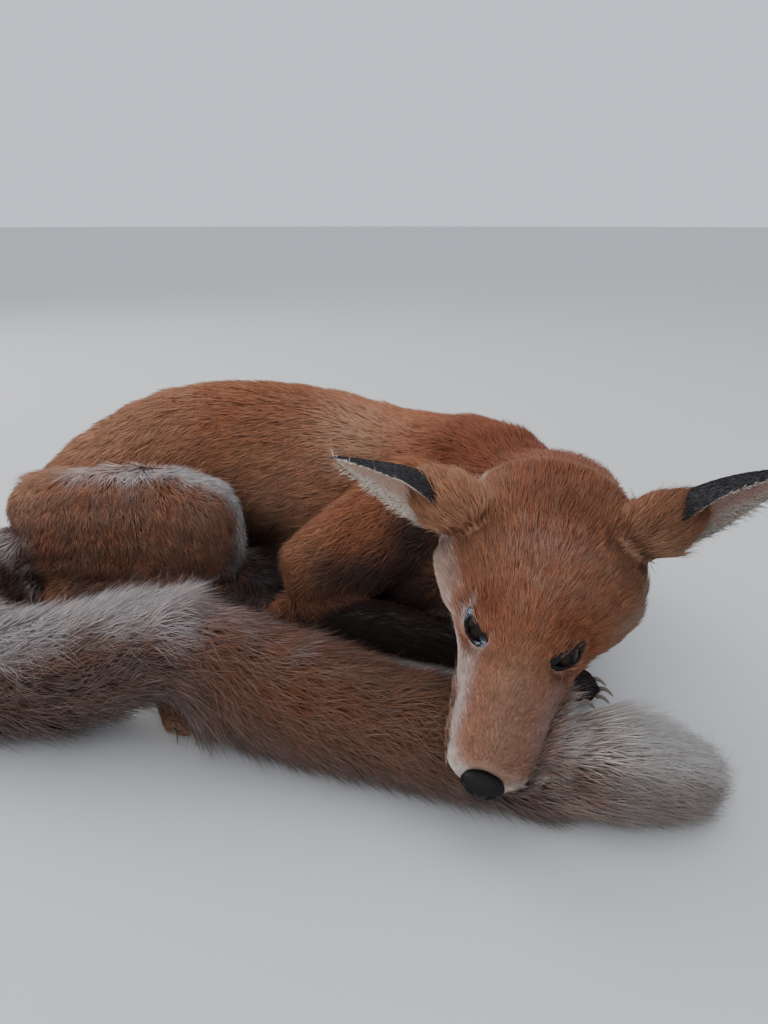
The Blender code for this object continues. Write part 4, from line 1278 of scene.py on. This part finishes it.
legNodes = ("thigh_left", "shank_right", "shank_left", "forearm_right", "forearm_left")
footNodes = ("hind_foot_right", "hind_foot_left", "fore_paw_right", "fore_paw_left")
tailRoot = ownedBy("tail_root", "tail_bend")
tailFront = ownedBy("tail_front", "tail_tip") & ~isBrush
for piece in (
    ("coat_face", "coat_rust", shortFur, onHead & (facePlace > -0.040), 33000, 21, 0.0030, 0.40),
    ("coat_crown", "coat_rust", shortFur, onHead & (facePlace <= -0.040), 25000, 22, 0.0045, 0.50),
    ("coat_ears", "coat_black", shortFur, isEar, 16000, 23, 0.003),
    ("coat_neck", "coat_rust", longFur, ownedBy("neck"), 14000, 24, 0.006),
    ("coat_chest", "coat_rust", longFur, ownedBy("chest"), 27000, 25, 0.006),
    ("coat_loin", "coat_rust", longFur, ownedBy("loin"), 21000, 26, 0.006),
    ("coat_rump", "coat_rust", longFur, ownedBy("rump"), 14000, 27, 0.006),
    ("coat_haunch", "coat_brown", longFur, ownedBy("thigh_right"), 19000, 28, 0.006, 0.40),
    ("coat_arm", "coat_rust", longFur, ownedBy("upper_arm_right", "upper_arm_left"), 12000, 35, 0.006),
    ("coat_legs", "coat_dark_brown", shortFur, ownedBy(*legNodes), 12000, 29, 0.005),
    ("coat_feet", "coat_dark_brown", shortFur, ownedBy(*footNodes), 8000, 30, 0.004),
    ("coat_tail_root", "coat_grey_brown", longFur, tailRoot, 14000, 31, 0.007, 0.40, 0.38),
    ("coat_tail_middle", "coat_brown", longFur, ownedBy("tail_middle"), 13000, 32, 0.007, 0.40, 0.38),
    ("coat_tail_front", "coat_brown", longFur, tailFront, 10000, 33, 0.007, 0.40, 0.38),
    ("coat_tail_tip", "coat_cream", longFur, isBrush, 12000, 34, 0.006, 0.50, 0.38),
):
    growTufts(*piece)
print("coat: grown")


# Eyes: glass balls and lids.

def eyeBall(side):
    turn = np.linspace(0, 2 * math.pi, 48, endpoint=False)
    tilt = np.linspace(0, math.pi, 33)
    radius = eye["radius"] - 0.0002
    bulge = 1 + 0.05 * np.exp(-((tilt / 0.55) ** 2))
    grid = np.stack(
        [np.sin(tilt)[:, None] * np.cos(turn), np.sin(tilt)[:, None] * np.sin(turn),
         np.repeat(np.cos(tilt)[:, None], len(turn), axis=1)], axis=2,
    ) * (radius * bulge)[:, None, None]
    points = grid.reshape(-1, 3) @ eyeAxes(side).T + eyeMiddles[side]
    obj = meshObject("eye_glass_left" if side > 0 else "eye_glass_right", points, gridFaces(33, 48, True))
    turnOutward(obj, weld=True)
    local = toEye(read(obj.data.vertices, "co", 3), side)
    putNumbers(obj, "slitAcross", local[:, 0] * 1000)
    putNumbers(obj, "slitUp", local[:, 1] * 1000)
    return obj


# Glass: a nearly black upright pupil in a dark brown iris, with a dark ring round it. Each is an oval where
# (across / half width)^2 + (up / half height)^2 is below 1, with lengths in millimetres.
def eyeLook(tree):
    def oval(halfAcross, halfUp, soft):
        parts = []
        for name, half in (("slitAcross", halfAcross), ("slitUp", halfUp)):
            scaled = mathNode(tree, "DIVIDE", attributeNode(tree, name), half)
            parts.append(mathNode(tree, "MULTIPLY", scaled, scaled))
        total = mathNode(tree, "ADD", *parts)
        edge = addNode(tree, "MapRange", {"Value": total, "From Min": 1 - soft, "From Max": 1 + soft})
        return edge["Result"]

    inner = mixNode(tree, oval(1.5, 3.6, 0.3), (0.002, 0.002, 0.002, 1), (0.016, 0.009, 0.006, 1))
    outer = mixNode(tree, oval(5.4, 5.4, 0.15), inner, (0.005, 0.004, 0.004, 1))
    return {"Base Color": outer, "Roughness": 0.12, "Specular IOR Level": 0.16}


# A lid ring: u runs round the slit and s from its rim outward, over the dome of lidHeight.
# At the rim it rolls inward onto the ball, and its outer edge dips under the coat.
def eyeLids(side):
    u = np.linspace(0, 2 * math.pi, 96, endpoint=False)
    s = np.linspace(0, 1, 22)
    rimA = eye["halfLength"] * np.cos(u)
    rimB = slitHalf(rimA) * np.sin(u) / np.maximum(np.abs(np.sin(u)) ** 0.6, 0.02)
    out = unit(np.stack([rimA / eye["halfLength"], rimB / eye["halfHeight"]], axis=1))
    a = rimA[None, :] + s[:, None] * eye["lidReach"] * out[None, :, 0]
    b = rimB[None, :] + s[:, None] * eye["lidReach"] * out[None, :, 1]
    c = lidHeight(a, b)
    c = c - 0.0012 * (1 - ramp(s, 0, 0.09))[:, None] - 0.0016 * ramp(s, 0.55, 1.0)[:, None]
    c = c + 0.0003 * np.sin(s * 22)[:, None] * ramp(s, 0.1, 0.3)[:, None] * (1 - ramp(s, 0.5, 0.9))[:, None]
    points = np.stack([a, b, c], axis=2)
    inner = points[::-1].copy()
    inner[..., 2] -= 0.0011
    shell = np.concatenate([points, inner])
    faces = gridFaces(len(shell), len(u), True)
    last = (len(shell) - 1) * len(u)
    ring = np.arange(len(u))
    after = (ring + 1) % len(u)
    closing = np.stack([last + ring, last + after, after, ring], axis=1)
    places = shell.reshape(-1, 3) @ eyeAxes(side).T + eyeMiddles[side]
    name = "eyelids_left" if side > 0 else "eyelids_right"
    obj = meshObject(name, places, np.concatenate([faces, closing]))
    turnOutward(obj)
    # Bare blue-grey skin shows at both corners of the right eye, and only dark rims round the left one.
    flat = shell.reshape(-1, 3)
    corner = ramp(np.abs(flat[:, 0]), eye["halfLength"] * 0.62, eye["halfLength"] * 0.95)
    corner *= 1 - ramp(np.abs(flat[:, 1]), 0.0030, 0.0050)
    fleck = ramp(waves(places, 0.0016, 5), -0.3, 0.5)
    dark = np.tile(tone["black"] * 0.7, (len(flat), 1))
    bare = corner * fleck * (0.9 if side < 0 else 0.03)
    colour = mix(dark, tone["blueGrey"], bare)
    outer = ramp(outsideSlit(flat[:, 0], flat[:, 1]), 0.003, 0.006) * (1 - corner)
    colour = mix(colour, tone["rustDeep"] * 0.8, outer)
    putColours(obj, "lidColour", colour)
    return obj


# Lid skin: the colours that its points carry, with a fine bump of noise.
def lidLook(tree):
    return {
        "Base Color": attributeNode(tree, "lidColour", "Color"), "Roughness": 0.6, "Specular IOR Level": 0.15,
        "Normal": bumpNode(tree, noiseNode(tree, 1400), 0.4, 0.0003),
    }


glassEye, lidSkin = newMaterial("glass eye", eyeLook), newMaterial("eyelid", lidLook)
for side, node in ((1, "eye_left"), (-1, "eye_right")):
    finishPiece(eyeBall(side), "glass_eye", glassEye, node)
    finishPiece(eyeLids(side), "nose_leather", lidSkin)
print("eyes: balls and lids")

# Nose pad.

nose = {
    "half": (0.0074, 0.0112, 0.0074), "sink": 0.0010, "nostrilSide": 0.0054, "nostrilUp": 0.0008,
    "rows": 96, "columns": 128,
}


# An egg pinched at the bottom, with two comma-shaped nostrils sunk into it and a groove down its middle.
def nosePad():
    tilt = np.linspace(0, math.pi, nose["rows"])[:, None]
    turn = np.linspace(0, 2 * math.pi, nose["columns"], endpoint=False)[None, :]
    x = np.cos(tilt) * np.ones_like(turn)
    y = np.sin(tilt) * np.sign(np.cos(turn)) * np.abs(np.cos(turn)) ** 0.8
    z = np.sin(tilt) * np.sign(np.sin(turn)) * np.abs(np.sin(turn)) ** 0.75
    half = np.array(nose["half"])
    points = np.stack([x * half[0], y * half[1] * (1 - 0.34 * ramp(-z, -0.2, 1.0)), z * half[2]], axis=2)
    points[..., 0] *= np.where(x > 0, 0.92, 1.0)
    side, up, front = points[..., 1], points[..., 2], ramp(x, -0.1, 0.3)
    sink = np.zeros_like(x)
    for flip in (1, -1):
        away = side * flip - nose["nostrilSide"]
        round_ = np.exp(-((away / 0.0023) ** 2) - ((up - nose["nostrilUp"]) / 0.0021) ** 2)
        slit = np.exp(-(((away - 0.0028) / 0.0030) ** 2) - ((up - nose["nostrilUp"] + 0.0016) / 0.0009) ** 2)
        sink += 0.0052 * round_ + 0.0026 * slit
    sink += 0.0011 * np.exp(-((side / 0.0007) ** 2)) * ramp(-up, -0.0015, 0.0030)
    pebbles = waves(points.reshape(-1, 3), 0.0011, 8).reshape(x.shape)
    points[..., 0] -= sink * front
    points += (points / half) * (0.00010 * pebbles)[..., None]
    # How deeply each point is sunk, which the leather takes as painted shade.
    hollow = np.clip(sink * front / 0.003, 0, 1)
    middle = toHead(noseMiddle) - np.array([0, 0, nose["sink"]])
    obj = meshObject("nose_pad", fromHead(points.reshape(-1, 3) + middle),
                     gridFaces(nose["rows"], nose["columns"], True))
    putNumbers(obj, "hollow", hollow.ravel())
    turnOutward(obj, weld=True)
    return obj


# Nose leather: two near blacks mixed by noise, with painted shade that makes it darkest in the sunken
# nostrils and the middle groove, and a bump of small cells.
def noseLook(tree):
    worn = mixNode(tree, noiseNode(tree, 260), (0.0028, 0.0024, 0.0024, 1), (0.0090, 0.0072, 0.0070, 1))
    place = addNode(tree, "TexCoord", {})["Object"]
    cells = addNode(tree, "TexVoronoi", {"Vector": place, "Scale": 1500})["Distance"]
    return {
        "Base Color": mixNode(tree, attributeNode(tree, "hollow"), worn, (0.0008, 0.0006, 0.0006, 1)),
        "Roughness": 0.42, "Specular IOR Level": 0.18, "Normal": bumpNode(tree, cells, 0.6, 0.0003),
    }


finishPiece(nosePad(), "nose_leather", newMaterial("nose leather", noseLook), "nose")
print("nose: pad and nostrils")

# Claws and whiskers.

# For each foot: the end of its long part, the way its toes point, and how far apart they stand.
feet = {
    "fore_paw_right": dict(end=(0.2052, -0.0831), ahead=(0.022, -0.011), spread=0.0098),
    "fore_paw_left": dict(end=(0.2102, -0.0211), ahead=(-0.008, -0.023), spread=0.0095),
    "hind_foot_right": dict(end=(-0.1168, -0.0781), ahead=(0.022, -0.027), spread=0.0090),
    "hind_foot_left": dict(end=(-0.0508, -0.1181), ahead=(0.018, -0.030), spread=0.0090),
}
claw = {"length": 0.0100, "radius": 0.0016, "toeReach": 0.0105, "height": 0.0088}
toeLeads = (-0.003, 0.004, 0.004, -0.003)


# Tapered tubes along paths: rings of `sides` corners, closed by a point at each end.
def taperedTubes(name, paths, radii, sides):
    count, steps = paths.shape[:2]
    along = unit(np.gradient(paths, axis=1))
    side = unit(np.cross(along, np.array([0.13, 0.21, 0.97])))
    rise = np.cross(side, along)
    turn = np.linspace(0, 2 * math.pi, sides, endpoint=False)
    out = np.cos(turn)[:, None] * side[:, :, None] + np.sin(turn)[:, None] * rise[:, :, None]
    rings = paths[:, :, None] + out * radii[None, :, None, None]
    points = np.concatenate([rings.reshape(count, -1, 3), paths[:, :1], paths[:, -1:]], axis=1)
    each = points.shape[1]
    quads = gridFaces(steps, sides, True)
    ring = np.arange(sides)
    after = (ring + 1) % sides
    last = (steps - 1) * sides
    ends = np.concatenate([
        np.stack([after, ring, np.full(sides, steps * sides)], axis=1),
        np.stack([last + ring, last + after, np.full(sides, steps * sides + 1)], axis=1),
    ])
    shift = (np.arange(count) * each)[:, None, None]
    quads, ends = (quads[None] + shift).reshape(-1, 4), (ends[None] + shift).reshape(-1, 3)
    obj = meshObject(name, points.reshape(-1, 3), quads, ends)
    turnOutward(obj)
    return obj


# Each claw leaves its toe level and curves down by two fifths of its length.
def clawPaths(foot):
    end = np.array([*foot["end"], claw["height"]])
    ahead = unit(np.array([*foot["ahead"], 0.0]))
    across = np.array([-ahead[1], ahead[0], 0.0])
    t = np.linspace(0, 1, 12)
    paths = []
    for i, lead in enumerate(toeLeads):
        start = end + across * (i - 1.5) * foot["spread"] + ahead * (lead + claw["toeReach"])
        fan = ahead + across * (i - 1.5) * 0.07
        path = start + np.outer(t * claw["length"], fan)
        path[:, 2] += 0.0012 * np.sin(t * math.pi) - 0.40 * claw["length"] * t**2
        path[:, 2] = np.maximum(path[:, 2], 0.0012)
        paths.append(path)
    return np.array(paths)


# Horn: two browns mixed by noise.
def hornLook(tree):
    horn = mixNode(tree, noiseNode(tree, 420), (0.10, 0.075, 0.055, 1), (0.36, 0.29, 0.22, 1))
    return {"Base Color": horn, "Roughness": 0.35}


clawHorn = newMaterial("claw horn", hornLook)
clawRadii = claw["radius"] * (1 - np.linspace(0, 1, 12) ** 1.6) ** 0.6 * 0.95 + 0.0001
for name, foot in feet.items():
    finishPiece(taperedTubes("claws_" + name, clawPaths(foot), clawRadii, 10), "claw_horn", clawHorn)


# Whiskers start in rows on each side of the muzzle and arc outward, back and a little down.
def whiskerPaths():
    seeded = np.random.default_rng(41)
    t = np.linspace(0, 1, 14)
    paths = []
    for side in (1, -1):
        for row in range(4):
            for place in range(4):
                x = 0.058 - 0.009 * place + seeded.uniform(-0.001, 0.001)
                z = -0.012 - 0.0032 * row
                y = side * (0.0215 + 0.0012 * place)
                length = seeded.uniform(0.010, 0.015) * (1 + 0.10 * place)
                lift = 0.10 - 0.10 * row + seeded.uniform(-0.1, 0.1)
                way = unit(np.array([-1.0 - 0.10 * place, side * 0.55, lift]))
                path = np.array([x, y, z]) + np.outer(t * length, way)
                path[:, 0] -= 0.25 * length * t**2
                path[:, 2] -= 0.20 * length * t**2
                paths.append(fromHead(path))
    return np.array(paths)


# Whisker: near black mixed with grey-brown by noise.
def whiskerLook(tree):
    hair = mixNode(tree, noiseNode(tree, 90), (0.03, 0.025, 0.02, 1), (0.20, 0.17, 0.14, 1))
    return {"Base Color": hair, "Roughness": 0.4}


whiskerPlaces = whiskerPaths()
whiskerPlaces[..., 2] = np.maximum(whiskerPlaces[..., 2], 0.0006)
whiskerRadii = 0.00015 * (1 - np.linspace(0, 1, 14) ** 1.2) + 0.00003
whiskerLooks = newMaterial("whisker", whiskerLook)
finishPiece(taperedTubes("whiskers", whiskerPlaces, whiskerRadii, 4), "coat_black", whiskerLooks)
print("claws and whiskers: made")
